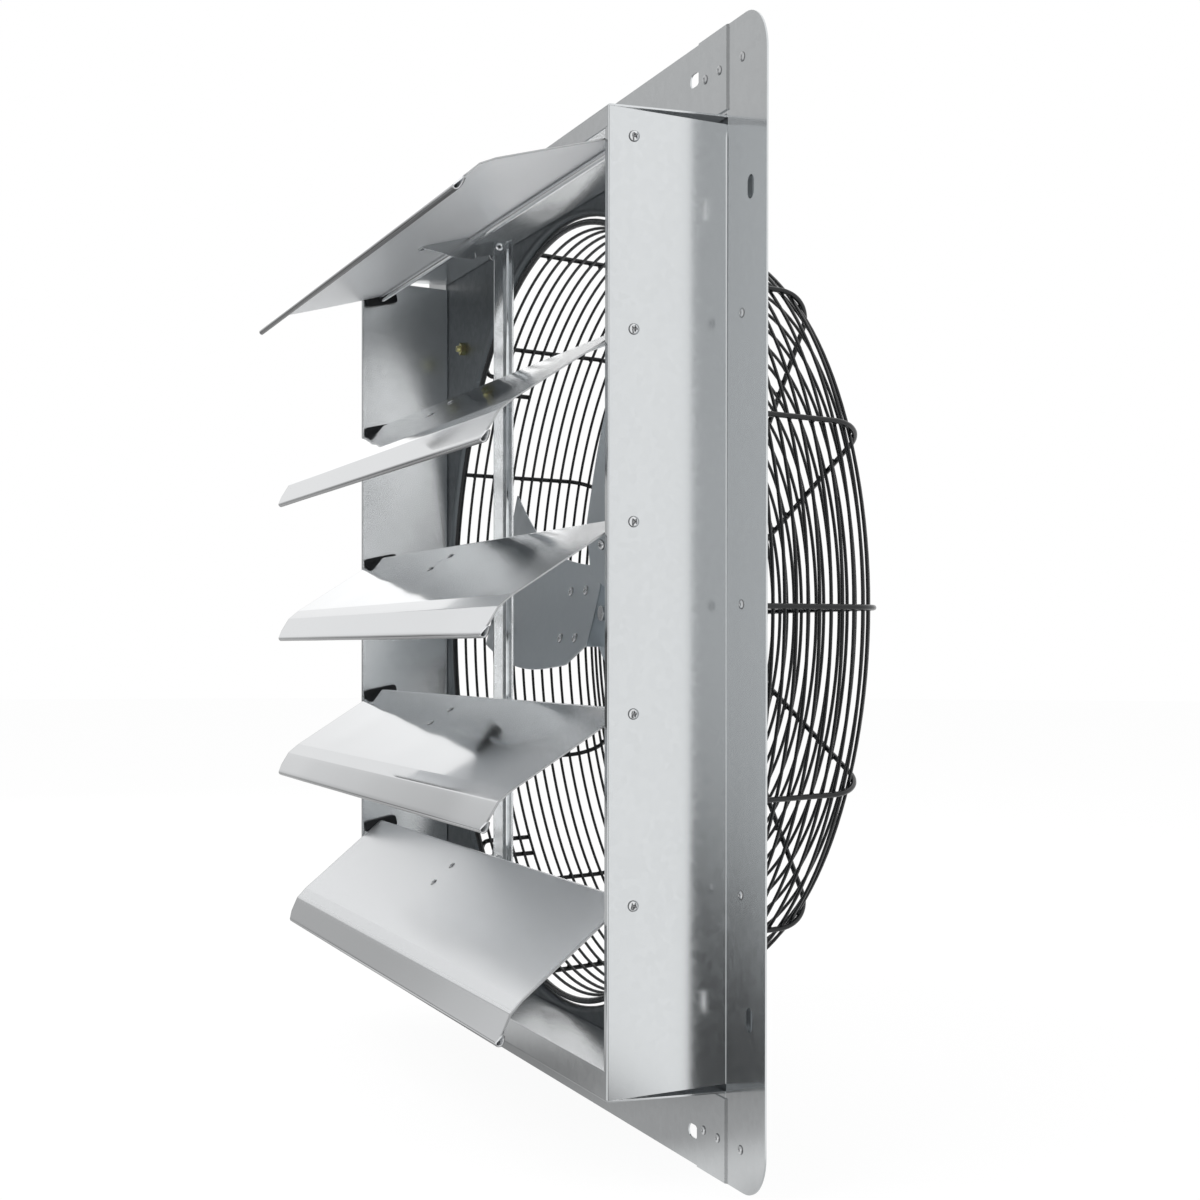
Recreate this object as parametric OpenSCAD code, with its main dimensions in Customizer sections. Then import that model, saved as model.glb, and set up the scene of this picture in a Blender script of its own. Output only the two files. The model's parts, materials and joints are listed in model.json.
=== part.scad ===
// Shutter exhaust fan: a square galvanised box with five gravity louvers in
// front of a wall flange, and a wire guard with the motor and fan behind it.
// The origin is on the fan axis, in the front face of the flange. The louvers
// are on the -Y side, the guard is on the +Y side and Z is up.

/* [Box] */
// Width and height of the box over its side panels
box_size = 625; // [560:1:680]
// Depth of the box in front of the flange
box_depth = 81.5; // [76:0.5:95]
// Thickness of the galvanised sheet
sheet_t = 1.2; // [0.8:0.1:1.6]
// Fold at the front edge of a side panel
side_fold = 5; // [3:0.5:5]
// Lip that hangs from the front of the top panel
top_lip = 14; // [8:0.5:15]
// Lip that stands on the front of the bottom panel
bottom_lip = 19; // [12:0.5:22]
// How much lower a side panel is at the flange than at its front edge
side_taper = 4.8; // [2:0.1:8]

/* [Flange] */
// Width of the flange outside the box
flange_w = 57.5; // [52:0.5:80]
// Radius of the flange corners
flange_corner = 30; // [10:1:40]
// Length of a corner tab over the top or bottom flange
tab_len = 43.5; // [38:0.5:60]
// Gap between the box and the edge of a corner tab
tab_rise = 3.5; // [2:0.5:6]
// Width of a mounting slot
slot_w = 9; // [6:0.5:10]
// Length of a mounting slot
slot_len = 15; // [12:0.5:20]
// Distance from the flange edge to the side slots
side_slot_edge = 22.7; // [20:0.1:23]
// Distance from the flange edge to the top and bottom slots
top_slot_edge = 21.5; // [20:0.1:24]
// Distance from the fan axis to the side slots, along the edge
side_slot_at = 259.6; // [220:0.1:270]
// Distance from the fan axis to the top and bottom slots, along the edge
top_slot_at = 261; // [225:0.5:261]

/* [Rivets] */
// Diameter of a rivet head on the flange
rivet_head_d = 6.3; // [5:0.1:6.5]
// Height of a rivet head
rivet_head_h = 1.3; // [0.8:0.1:2]
// Diameter of a rivet shank
rivet_d = 3.2; // [2.4:0.1:3.6]
// Distance from the flange edge to its rivets
rivet_edge = 35; // [34.5:0.1:35.5]
// Distance from the fan axis to the middle rivets of a side
rivet_step = 183; // [150:1:200]
// Distance from the flange edge to the corner rivets
rivet_corner = 26.5; // [25:0.5:28]
// Spacing of the two rivets in a corner tab
tab_rivet_step = 22; // [16:1:26]

/* [Louvers] */
// Number of louvers, fixed by the linkage
louver_count = 5; // [5:1:5]
// Distance from the box front edge back to the hinge axes
hinge_inset = 17.5; // [14:0.5:20]
// Distance from the box top down to the first hinge axis
hinge_drop = 19.1; // [18:0.1:22]
// Space under the closed bottom louver
louver_spare = 1.9; // [1:0.1:6]
// Thickness of the louver sheet
louver_t = 1; // [0.8:0.1:1.2]
// Outer diameter of the curl that holds the pivots
curl_d = 6.5; // [6.3:0.1:7]
// Length of the shallow fold in front of the flat
louver_fold = 11.5; // [8:0.5:14]
// Length of the lip at the louver's front edge
louver_lip = 21; // [16:0.5:24]
// Downward bend of the shallow fold
fold_bend = 7; // [3:1:12]
// Downward bend of the lip
lip_bend = 26; // [15:1:32]
// Length of the closed hem at the front edge
louver_hem = 6; // [4:0.5:9]
// Cut at the front corners of a louver
louver_chamfer = 7; // [3:0.5:12]
// Gap between a louver end and its bearing
louver_end_gap = 0.8; // [0.5:0.1:2]
// Rest angle of the top louver below level
rest_angle_first = 18; // [10:1:30]
// Rest angle of the three middle louvers below level
rest_angle_middle = 36.3; // [30:0.1:42]
// Rest angle of the bottom louver below level
rest_angle_last = 44; // [36:1:50]

/* [Pivots] */
// Diameter of a pivot screw
pivot_d = 4; // [3:0.1:4]
// Diameter of a pivot screw's pan head
pivot_head_d = 7.3; // [6:0.1:9]
// Height of a pivot screw's pan head
pivot_head_h = 2.4; // [1.6:0.1:3.5]
// Depth of a pivot screw in the louver's curl
pivot_depth = 10; // [6:0.5:16]
// Thickness of a nylon bearing
bearing_t = 5; // [4:0.5:7]
// Length of a nylon bearing
bearing_len = 30; // [20:0.5:31]
// Height of a nylon bearing
bearing_h = 10; // [8:0.5:11]
// Tilt of a nylon bearing, up to the rear
bearing_tilt = 12; // [0:1:15]

/* [Linkage] */
// Distance of the tie bar from the box's middle, to the left
link_x = 20; // [0:1:60]
// Thickness of the tie bar and of the brackets
link_t = 1.5; // [1:0.1:2]
// Distance from a louver hinge to its tie bar pin
link_r = 20.4; // [19:0.1:21]
// Rest angle of the pins below level, behind the hinges
link_angle = 13.9; // [8:0.1:18]
// Diameter of a tie bar pin
link_pin_d = 4; // [3:0.1:4.4]
// Diameter of a tie bar pin's head
link_head_d = 6.8; // [6.4:0.1:7.4]
// Tie bar ahead of its pins
bar_front = 4; // [3.6:0.1:4.4]
// Tie bar behind its pins
bar_rear = 8.3; // [6:0.1:9]
// Reach of the tie bar's second leg
bar_leg = 12.6; // [8:0.1:16]
// Tie bar above its top pin
bar_top = 4.5; // [3.5:0.1:5]
// Tie bar below its bottom pin
bar_foot = 14; // [6:0.5:18]
// Length of a bracket's foot along the louver
foot_len = 34; // [30:0.5:40]
// Width of a bracket's foot
foot_w = 12; // [10:0.5:16]

/* [Fan opening] */
// Distance from the box face to the fan opening
opening_edge = 6.5; // [6:0.1:20]
// Radius of the rolled edge of the fan opening
opening_roll = 6; // [4:0.1:8]
// How far the venturi plate goes past the side rivets
plate_edge = 6; // [4:0.1:6.5]
// Distance from the sides of the box in to the guard bolts
guard_bolt_side = 54.5; // [50.5:0.5:58.5]
// Distance from the top and bottom of the box in to the guard bolts
guard_bolt_top = 68.5; // [64.5:0.5:70.5]

/* [Guard] */
// Diameter of the base ring's wire
base_wire_d = 6; // [4:0.1:6.4]
// Diameter of a rib's wire
rib_wire_d = 3.8; // [3:0.1:5]
// Diameter of a ring's wire
ring_wire_d = 2.5; // [1.6:0.1:3]
// Number of ribs
rib_count = 14; // [10:1:18]
// Depth of the guard behind the flange's front face
guard_depth = 126; // [124:0.5:150]
// Inward lean of the guard wall
guard_lean_angle = 5.2; // [2:0.1:7]
// Radius of the bend from the wall to the rear face
guard_bend = 27; // [20:0.5:36]
// Slope of the rear face towards the motor
guard_dish_angle = 1.7; // [0:0.1:3]
// Spacing of the rings on the wall
wall_pitch = 9; // [7:0.1:12]
// Spacing of the rings on the rear face
face_pitch = 11; // [9:0.1:14]
// Diameter of the wire of a mounting foot
foot_wire_d = 4; // [3:0.1:4.6]
// Width of a mounting foot between its wires
foot_loop = 18; // [16:0.5:20]
// Height of a mounting foot up the guard wall
foot_rise = 42; // [25:1:60]

/* [Fan] */
// Number of blades, fixed by the blade nodes
blade_count = 3; // [3:1:3]
// Distance from the base ring's wire to the blade tips
tip_gap = 15; // [13:0.5:30]
// Thickness of a blade
blade_t = 1.5; // [1:0.1:2]
// Distance of the fan's middle plane behind the flange
blade_y = 37; // [35:0.5:40]
// Pitch of the blades
blade_pitch = 12; // [6:0.5:13]
// Radius of the blades' camber
blade_camber = 600; // [450:10:1000]
// Distance from the fan axis to a blade's root edge
blade_root = 21; // [20:0.5:24]
// Width of a spider arm
arm_w = 53; // [46:0.5:56]
// Length of a spider arm from the fan axis
arm_len = 105; // [98:1:130]
// Thickness of a spider arm
arm_t = 2.5; // [1.5:0.1:4]
// Distance from the fan axis to the inner blade rivets
blade_rivet_in = 51; // [48:0.5:56]
// Distance from the end of an arm to the outer blade rivets
blade_rivet_edge = 19; // [13:0.5:28]
// Spacing of the blade rivets across an arm
blade_rivet_step = 40; // [30:0.5:40]
// Diameter of a blade rivet
blade_rivet_d = 5; // [3:0.1:5.4]
// Diameter of a blade rivet's head
blade_rivet_head_d = 8.6; // [7:0.1:10]
// Radius of the spider's disc
disc_r = 45; // [36:0.5:46]
// Thickness of the spider's disc
disc_t = 3; // [2:0.1:4]
// Radius of the hub
hub_r = 16; // [12:0.5:20]
// Length of the hub behind the disc
hub_len = 14; // [11:0.5:15]

/* [Motor] */
// Outer diameter of the motor
motor_d = 140; // [134:1:148]
// Length of the motor over its end bells
motor_len = 52; // [50:0.5:52]
// Thickness of the motor's end bells
bell_t = 4; // [3:0.1:4.5]
// Thickness of the motor's shell
shell_t = 4; // [2.5:0.1:5]
// Diameter of the motor shaft
shaft_d = 12.7; // [10:0.1:14]
// Outer diameter of the bearings
bearing_d = 32; // [28:0.5:34]
// Width of the bearings
bearing_w = 10; // [8:0.5:11]
// Outer diameter of the rotor
rotor_d = 73; // [60:0.5:76]
// Length of the stator and the rotor
stator_len = 22; // [16:0.5:23]
// Radius of the circle of the motor bolts
motor_bolt_at = 60; // [59:0.1:60.5]
// Diameter of a motor bolt
motor_bolt_d = 4; // [3:0.1:4]
// Radius of the motor's mounting plate
mount_r = 80; // [76:0.5:84]
// Thickness of the motor's mounting plate
mount_t = 2.5; // [2:0.1:3.5]
// Width of the terminal box
terminal_w = 44; // [34:1:60]
// Length of the terminal box along the motor
terminal_len = 28; // [22:1:32]
// Height of the terminal box outside the motor
terminal_h = 24; // [18:1:34]
// Diameter of the cable gland
gland_d = 18; // [12:0.5:20]

/* [Hidden] */
$fn = 64;

// Gap of a fastener in its hole and of a shaft in its bearing
fit = 0.05;
// Overrun of every cut past the face that it cuts
over = 1;
// Gap between sheets or parts that don't touch
slack = 0.3;
// Sizes of a part, in shares of the size that carries it
tail_share = 0.8;
tail_height_share = 0.3;
bracket_eye_share = 1.25;
foot_start_share = 2.8;
bend_ring_share = 0.75;
rib_end_share = 0.85;
blade_mid_share = 0.07;
// Colours of the finishes
galvanised = "lightgray";
dull_zinc = "slategray";
black_wire = "black";
steel = "silver";
yellow_zinc = "darkkhaki";

// Box and flange
box_half = box_size / 2;
inner_half = box_half - sheet_t;
flange_half = box_half + flange_w;
side_rear_half = inner_half - side_taper;
joggle_gap = 1;
joggle_in = box_half + joggle_gap;
joggle_out = joggle_in + 2 * joggle_gap;
panel_flange_half = joggle_in - slack;
tab_inner = box_half - tab_len + joggle_gap;
tab_z = box_half + tab_rise;
tab_mid = (tab_inner + joggle_in) / 2;
tab_rivet_x = [tab_mid - tab_rivet_step / 2, tab_mid + tab_rivet_step / 2];
rivet_x = flange_half - rivet_edge;
rivet_z = flange_half - rivet_corner;
rivet_tail_r = tail_share * rivet_d;
rivet_tail_h = tail_height_share * rivet_d;
rivet_rows = [-rivet_z, -rivet_step, 0, rivet_step, rivet_z];
slot_x = flange_half - side_slot_edge;
slot_z = flange_half - top_slot_edge;

// Venturi plate, which lies behind the flanges
plate_front = sheet_t;
plate_rear = 2 * sheet_t;
plate_x_half = rivet_x + plate_edge;
plate_z_half = rivet_z - rivet_tail_r - 2 * slack;
ear_half = 2 * plate_edge;
opening_r = box_half - opening_edge;

// Louvers
hinge_y = hinge_inset - box_depth;
louver_pitch = (box_size - hinge_drop - louver_spare) / louver_count;
louver_half = inner_half - bearing_t - louver_end_gap;
curl_r = curl_d / 2;
pivot_r = pivot_d / 2;
sheet_mid = curl_r - louver_t / 2;
sheet_under = curl_r - louver_t;
fold_run = louver_fold * cos(fold_bend);
lip_run = louver_lip * cos(lip_bend);
louver_flat = louver_pitch - fold_run - lip_run;
tip_z = sheet_mid - louver_fold * sin(fold_bend) - louver_lip * sin(lip_bend);
// Angle of the line from the hinge to the tip, below the flat
tip_angle = atan2(-tip_z, louver_pitch);
louver_rest = [rest_angle_first, rest_angle_middle, rest_angle_middle, rest_angle_middle, rest_angle_last];
// How far the middle louvers open and close from rest
open_angle = 12;
close_angle = 50.5;
// Turns of each louver for one turn of the middle louvers
swing_ratio = [1.36, 1, 1, 1, 0.69];
function hinge_z(k) = box_half - hinge_drop - k * louver_pitch;
function flat_angle(k) = louver_rest[k] - tip_angle;

// Linkage: the pins stand behind the hinges
pin_y = link_r * cos(link_angle);
pin_z = -link_r * sin(link_angle);
link_pin_r = link_pin_d / 2;
link_head_r = link_head_d / 2;
link_head_h = 1.6;
bracket_x = -link_x - link_t - slack;
bracket_eye = bracket_eye_share * link_pin_d;
pin_play = 0.4;
foot_start = foot_start_share * curl_r;
foot_end = foot_start + foot_len;
foot_x = bracket_x - link_t / 2 - foot_w / 2;
foot_rivet_shares = [0.27, 0.84];
// Height over the first hinge that its bracket keeps to when closed
bracket_room = hinge_drop - sheet_t - slack;
foot_rivet_r = 1.6;
foot_head_r = 3;
foot_head_h = 1.2;
// Lower edge of a bracket, in shares of the pin distance
bracket_edge_shares = [[-0.206, -0.755], [-0.94, -0.54], [-1.41, -0.28]];
bracket_arm_shares = [-0.1, -0.45];
function pin_angle(k) = -link_angle - flat_angle(k);
// Travel of a pin in its bracket, from the slow end to the fast end
function slot_from(k) = min((1 - swing_ratio[k]) * close_angle, (swing_ratio[k] - 1) * open_angle);
function slot_to(k) = max((1 - swing_ratio[k]) * close_angle, (swing_ratio[k] - 1) * open_angle);

// Guard: the rings lie inside the ribs
wire_sides = 8;
rib_bend_steps = 6;
base_wire_r = base_wire_d / 2;
rib_wire_r = rib_wire_d / 2;
ring_wire_r = ring_wire_d / 2;
foot_wire_r = foot_wire_d / 2;
base_gap = 1;
base_r = opening_r - base_wire_r - base_gap;
base_y = plate_rear + base_wire_r;
rib_offset = rib_wire_r + ring_wire_r + fit;
ring_start_r = base_r - rib_offset;
bend_y = guard_depth - guard_bend;
bend_r = ring_start_r - (bend_y + guard_bend * sin(guard_lean_angle) - base_y) * tan(guard_lean_angle)
    - guard_bend * cos(guard_lean_angle);
wall_len = (bend_y + guard_bend * sin(guard_lean_angle) - base_y) / cos(guard_lean_angle);
bend_turn = 90 + guard_dish_angle - guard_lean_angle;
bend_len = guard_bend * bend_turn * PI / 180;
crest_r = bend_r - guard_bend * sin(guard_dish_angle);
crest_y = bend_y + guard_bend * cos(guard_dish_angle);
wall_rings = floor((wall_len + bend_ring_share * bend_len) / wall_pitch);
face_margin = 2 * ring_wire_d;
face_rings = floor((crest_r - mount_r - face_margin) / face_pitch) + 1;
function bend_at(s) = guard_lean_angle + (s - wall_len) / guard_bend * 180 / PI;
// Radius and depth of the ring at a length along the wall and the bend
function wall_at(s) = s < wall_len
    ? [ring_start_r - s * sin(guard_lean_angle), base_y + s * cos(guard_lean_angle)]
    : [bend_r + guard_bend * cos(bend_at(s)), bend_y + guard_bend * sin(bend_at(s))];
function face_y(r) = crest_y - (crest_r - r) * tan(guard_dish_angle);

// Feet of the guard
guard_bolt_x = box_half - guard_bolt_side;
guard_bolt_z = box_half - guard_bolt_top;
bolt_angle = atan2(guard_bolt_z, guard_bolt_x);
bolt_r = norm([guard_bolt_x, guard_bolt_z]);
bolt_shank_r = 3;
bolt_washer_r = 11.5;
bolt_washer_h = 1.6;
bolt_head_r = 5.8;
bolt_head_h = 4;
nut_r = 5.8;
nut_h = 5;
bolt_end = 3;
foot_y = plate_rear + foot_wire_r + fit;
foot_over_y = base_y + base_wire_r + foot_wire_r + 2 * fit;
foot_top_y = foot_over_y + foot_rise;
foot_leg_gap = ring_wire_r + foot_wire_r + 2 * fit;
foot_turn_share = 0.3;
foot_loop_steps = 8;
foot_clear = opening_r + opening_roll + foot_wire_r + foot_wire_d;
foot_drop = foot_clear + foot_wire_d + foot_wire_r;

// Mounting plate and motor
rib_end_r = rib_end_share * mount_r;
mount_rear = face_y(rib_end_r) + rib_offset - rib_wire_r - fit;
mount_front = mount_rear - mount_t;
motor_r = motor_d / 2;
motor_rear = mount_front;
motor_front = motor_rear - motor_len;
motor_mid = (motor_front + motor_rear) / 2;
shell_in = motor_r - shell_t;
shaft_r = shaft_d / 2;
bearing_r = bearing_d / 2;
boss_r = bearing_r + bell_t;
bearing_inset = 1;
air_gap = 0.6;
rotor_r = rotor_d / 2;
stator_in = rotor_r + air_gap;
motor_bolt_r = motor_bolt_d / 2;
motor_bolt_holes = 4;
motor_bolt_head_r = 3.6;
motor_bolt_head_h = 2;
mount_nut_h = 3.2;
winding_out = motor_bolt_at - motor_bolt_r - 3 * over;
winding_in = stator_in + 2 * over;
winding_len = (motor_len - stator_len) / 2 - bell_t - 2 * over;
vent_count = 8;
vent_r = 5;
vent_at = (boss_r + motor_bolt_at) / 2;
gland_len = 13;
gland_nut_len = 5;
gland_bore_share = 0.5;
gland_cap_share = 0.75;
motor_bolt_angle = 45;

// Fan
tip_r = base_r - tip_gap;
// Middle of the blade's width, above its radial line
blade_mid = blade_mid_share * tip_r;
blade_rivet_out = arm_len - blade_rivet_edge;
disc_set = 10;
disc_y = blade_y + disc_set;
hub_y = disc_y + disc_t;
shaft_end = blade_y - disc_t;
blade_rivet_r = blade_rivet_d / 2;
blade_rivet_head_r = blade_rivet_head_d / 2;
blade_rivet_head_h = 2;
blade_angles = [for (k = [0 : blade_count - 1]) 180 - k * 360 / blade_count];
set_screw_r = 2.5;
// Corners and curve handles of a blade, in shares of the tip radius
root_low_share = -0.09;
root_high_share = 0.087;
top_curve_shares = [[0.13, 0.14], [0.42, 0.16], [0.66, 0.2], [0.95, 0.42]];
low_curve_shares = [[1.02, -0.08], [0.62, -0.19], [0.45, -0.17], [0.2, -0.15]];
curve_steps = 10;
function curve(p, t) = pow(1 - t, 3) * p[0] + 3 * t * pow(1 - t, 2) * p[1]
    + 3 * t * t * (1 - t) * p[2] + pow(t, 3) * p[3];

// Shapes that several parts share

// Extrudes an outline of X and Z from y0 back to y1
module plate_y(y0, y1) {
    translate([0, y1, 0]) rotate([90, 0, 0]) linear_extrude(y1 - y0) children();
}

// Extrudes an outline of Y and Z from x0 to x1
module plate_x(x0, x1) {
    translate([x0, 0, 0]) rotate([90, 0, 90]) linear_extrude(x1 - x0) children();
}

// Turns an outline of radius and depth about the fan axis
module turn_y() {
    rotate([-90, 0, 0]) rotate_extrude($fn = 128) children();
}

// Straight round bar along Y
module bar_y(r, y0, y1) {
    translate([0, y0, 0]) rotate([-90, 0, 0]) cylinder(h = y1 - y0, r = r);
}

// Straight round bar along X
module bar_x(r, x0, x1) {
    translate([x0, 0, 0]) rotate([0, 90, 0]) cylinder(h = x1 - x0, r = r);
}

function unit(v) = v / norm(v);
function tangent(p, i) = i == 0 ? unit(p[1] - p[0])
    : i == len(p) - 1 ? unit(p[i] - p[i - 1])
    : unit(unit(p[i + 1] - p[i]) + unit(p[i] - p[i - 1]));
// Side vectors of the tube's sections, carried along the path without twist
function carry(p, i, side) =
    let (t = tangent(p, i), u = unit(side - (side * t) * t))
    i == len(p) - 1 ? [u] : concat([u], carry(p, i + 1, u));

// Bent wire along a path; the side vector is square to its first stretch
module wire(p, r, side) {
    n = wire_sides;
    u = carry(p, 0, side);
    polyhedron(
        points = [for (i = [0 : len(p) - 1], a = [0 : n - 1])
            p[i] + r * (cos(a * 360 / n) * u[i] + sin(a * 360 / n) * cross(tangent(p, i), u[i]))],
        faces = concat(
            [for (i = [0 : len(p) - 2], a = [0 : n - 1], half = [0, 1])
                let (b = (a + 1) % n, low = i * n, high = (i + 1) * n)
                half == 0 ? [low + a, high + a, high + b] : [low + a, high + b, low + b]],
            [[for (a = [0 : n - 1]) a]],
            [[for (a = [n - 1 : -1 : 0]) (len(p) - 1) * n + a]]
        ),
        convexity = 4
    );
}

// Domed head that stands on the plane z = 0
module dome(r, h) {
    ball = (r * r + h * h) / (2 * h);
    rotate_extrude() intersection() {
        translate([0, h - ball]) circle(r = ball, $fn = 128);
        square([r, h]);
    }
}

// Places children in all four quadrants about the fan axis
module quadrants() {
    for (mx = [0, 1], mz = [0, 1]) mirror([mx, 0, 0]) mirror([0, 0, mz]) children();
}

module flange_outline() {
    inset = flange_half - flange_corner;
    square([2 * inset, 2 * flange_half], center = true);
    square([2 * flange_half, 2 * inset], center = true);
    for (x = [-inset, inset], z = [-inset, inset]) translate([x, z]) circle(r = flange_corner);
}

// Slot outline, long along its local X
module slot_outline() {
    straight = slot_len - slot_w;
    square([straight, slot_w], center = true);
    for (x = [-straight / 2, straight / 2]) translate([x, 0]) circle(d = slot_w);
}

// Rivet through sheets between y0 and y1, with its head in front
module sheet_rivet(y0, y1) {
    translate([0, y0, 0]) rotate([90, 0, 0]) dome(rivet_head_d / 2, rivet_head_h);
    bar_y(rivet_d / 2, y0 - rivet_head_h / 2, y1 + rivet_tail_h / 2);
    bar_y(rivet_tail_r, y1, y1 + rivet_tail_h);
}

// Box and flange

module side_panel() {
    low_end = bottom_lip + slack - box_half;
    high_end = box_half - top_lip - slack;
    color(galvanised) difference() {
        union() {
            plate_x(inner_half, box_half) polygon([
                [-box_depth, -inner_half], [-box_depth, inner_half],
                [sheet_t, side_rear_half], [sheet_t, -side_rear_half],
            ]);
            translate([box_half - side_fold, -box_depth, low_end])
                cube([side_fold, sheet_t, high_end - low_end]);
            intersection() {
                plate_y(-sheet_t, sheet_t) flange_outline();
                union() {
                    translate([inner_half, 0, -side_rear_half])
                        cube([flange_half - inner_half, sheet_t, 2 * side_rear_half]);
                    translate([joggle_in, 0, -tab_z])
                        cube([flange_half - joggle_in, sheet_t, 2 * tab_z]);
                    for (m = [0, 1]) mirror([0, 0, m])
                        translate([0, 0, tab_z]) linear_extrude(flange_half - tab_z) polygon([
                            [tab_inner, -sheet_t], [joggle_in, -sheet_t],
                            [joggle_out, 0], [flange_half, 0],
                            [flange_half, sheet_t], [joggle_out, sheet_t],
                            [joggle_in, 0], [tab_inner, 0],
                        ]);
                }
            }
        }
        for (z = [-side_slot_at, side_slot_at])
            plate_y(-over, sheet_t + over) translate([slot_x, z]) rotate(90) slot_outline();
        for (z = rivet_rows)
            translate([rivet_x, 0, z]) bar_y(rivet_d / 2 + fit, -over, sheet_t + over);
        for (x = tab_rivet_x, z = [-rivet_z, rivet_z])
            translate([x, 0, z]) bar_y(rivet_d / 2 + fit, -sheet_t - over, over);
        for (k = [0 : louver_count - 1])
            translate([0, hinge_y, hinge_z(k)])
                bar_x(pivot_r + fit, inner_half - over, box_half + over);
    }
}

module side_panel_right() { side_panel(); }

module side_panel_left() { mirror([1, 0, 0]) side_panel(); }

// Top or bottom panel, drawn for the top
module level_panel(lip) {
    lip_half = inner_half - slack;
    difference() {
        union() {
            translate([-box_half, -box_depth, inner_half])
                cube([2 * box_half, box_depth + sheet_t, sheet_t]);
            translate([-lip_half, -box_depth, box_half - lip])
                cube([2 * lip_half, sheet_t, lip]);
            translate([-panel_flange_half, 0, inner_half])
                cube([2 * panel_flange_half, sheet_t, flange_half - inner_half]);
        }
        for (x = [-top_slot_at, top_slot_at])
            plate_y(-over, sheet_t + over) translate([x, slot_z]) slot_outline();
        for (x = tab_rivet_x, side = [-1, 1])
            translate([side * x, 0, rivet_z]) bar_y(rivet_d / 2 + fit, -over, sheet_t + over);
    }
}

module top_panel() color(galvanised) level_panel(top_lip);

module bottom_panel() color(galvanised) mirror([0, 0, 1]) level_panel(bottom_lip);

module venturi_plate() {
    edge_r = opening_r + opening_roll;
    color(dull_zinc) difference() {
        union() {
            plate_y(plate_front, plate_rear) difference() {
                union() {
                    square([2 * plate_x_half, 2 * plate_z_half], center = true);
                    for (x = [-rivet_x, rivet_x], z = [-1, 1])
                        translate([x - ear_half, z > 0 ? 0 : -rivet_z - plate_edge])
                            square([2 * ear_half, rivet_z + plate_edge]);
                }
                circle(r = edge_r, $fn = 128);
            }
            turn_y() translate([edge_r, plate_front + opening_roll]) intersection() {
                difference() {
                    circle(r = opening_roll);
                    circle(r = opening_roll - sheet_t);
                }
                translate([-opening_roll, -opening_roll]) square(opening_roll);
            }
        }
        for (x = [-rivet_x, rivet_x], z = rivet_rows)
            translate([x, 0, z]) bar_y(rivet_d / 2 + fit, plate_front - over, plate_rear + over);
        quadrants() translate([guard_bolt_x, 0, guard_bolt_z])
            bar_y(bolt_shank_r + fit, plate_front - over, plate_rear + over);
    }
}

module flange_rivets() {
    color(steel) for (x = [-rivet_x, rivet_x], z = rivet_rows)
        translate([x, 0, z]) sheet_rivet(0, plate_rear);
}

module tab_rivets() {
    color(steel) quadrants() for (x = tab_rivet_x)
        translate([x, 0, rivet_z]) sheet_rivet(-sheet_t, sheet_t);
}

// Pivots

module pivot_screws() {
    shank_end = louver_half - pivot_depth;
    color(steel) for (k = [0 : louver_count - 1]) translate([0, hinge_y, hinge_z(k)]) {
        translate([box_half, 0, 0]) rotate([0, 90, 0]) dome(pivot_head_d / 2, pivot_head_h);
        bar_x(pivot_r, shank_end, box_half + pivot_head_h / 2);
    }
}

module pivot_screws_right() { pivot_screws(); }

module pivot_screws_left() { mirror([1, 0, 0]) pivot_screws(); }

module bearings() {
    color("dimgray") for (k = [0 : louver_count - 1]) translate([0, hinge_y, hinge_z(k)])
        difference() {
            rotate([bearing_tilt, 0, 0])
                translate([inner_half - bearing_t, -bearing_len / 2, -bearing_h / 2])
                    cube([bearing_t, bearing_len, bearing_h]);
            bar_x(pivot_r + fit, inner_half - bearing_t - over, inner_half + over);
        }
}

module bearings_right() { bearings(); }

module bearings_left() { mirror([1, 0, 0]) bearings(); }

// Louvers

// Offset of the sheet's face from its middle line at a bend between two slopes
function bend_offset(from, to, d) =
    [-sin((from + to) / 2), cos((from + to) / 2)] * d / cos((to - from) / 2);

module louver_section() {
    half_t = louver_t / 2;
    fold_at = [-louver_flat, sheet_mid];
    lip_at = [-louver_flat - fold_run, sheet_mid - louver_fold * sin(fold_bend)];
    lip_dir = [-cos(lip_bend), -sin(lip_bend)];
    lip_up = [-sin(lip_bend), cos(lip_bend)];
    tip = lip_at + louver_lip * lip_dir;
    hem = lip_at + (louver_lip - louver_hem) * lip_dir;
    difference() {
        union() {
            circle(r = curl_r);
            polygon([
                [0, curl_r],
                fold_at + bend_offset(0, fold_bend, half_t),
                lip_at + bend_offset(fold_bend, lip_bend, half_t),
                tip + half_t * lip_up,
                tip - 3 * half_t * lip_up,
                hem - 3 * half_t * lip_up,
                hem - half_t * lip_up,
                lip_at - bend_offset(fold_bend, lip_bend, half_t),
                fold_at - bend_offset(0, fold_bend, half_t),
                [0, sheet_under],
            ]);
        }
        circle(r = pivot_r + fit);
    }
}

// Places children in the frame of a louver, with its flat along -Y
module on_louver(k) {
    translate([0, hinge_y, hinge_z(k)]) rotate([flat_angle(k), 0, 0]) children();
}

// Triangle that cuts a front corner of a louver
module corner_cut() {
    cut = louver_chamfer + over;
    tip = -louver_pitch - louver_t;
    translate([0, 0, -louver_pitch / 2]) linear_extrude(louver_pitch) polygon([
        [louver_half - cut, tip - over],
        [louver_half + over, tip - over],
        [louver_half + over, tip + cut],
    ]);
}

module louver(k) {
    color(galvanised) on_louver(k) difference() {
        plate_x(-louver_half, louver_half) louver_section();
        corner_cut();
        mirror([1, 0, 0]) corner_cut();
        for (s = foot_rivet_shares) translate([foot_x, -foot_start - s * foot_len, 0])
            cylinder(h = curl_r + over, r = foot_rivet_r + fit);
    }
}

module louver_1() { louver(0); }
module louver_2() { louver(1); }
module louver_3() { louver(2); }
module louver_4() { louver(3); }
module louver_5() { louver(4); }

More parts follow.
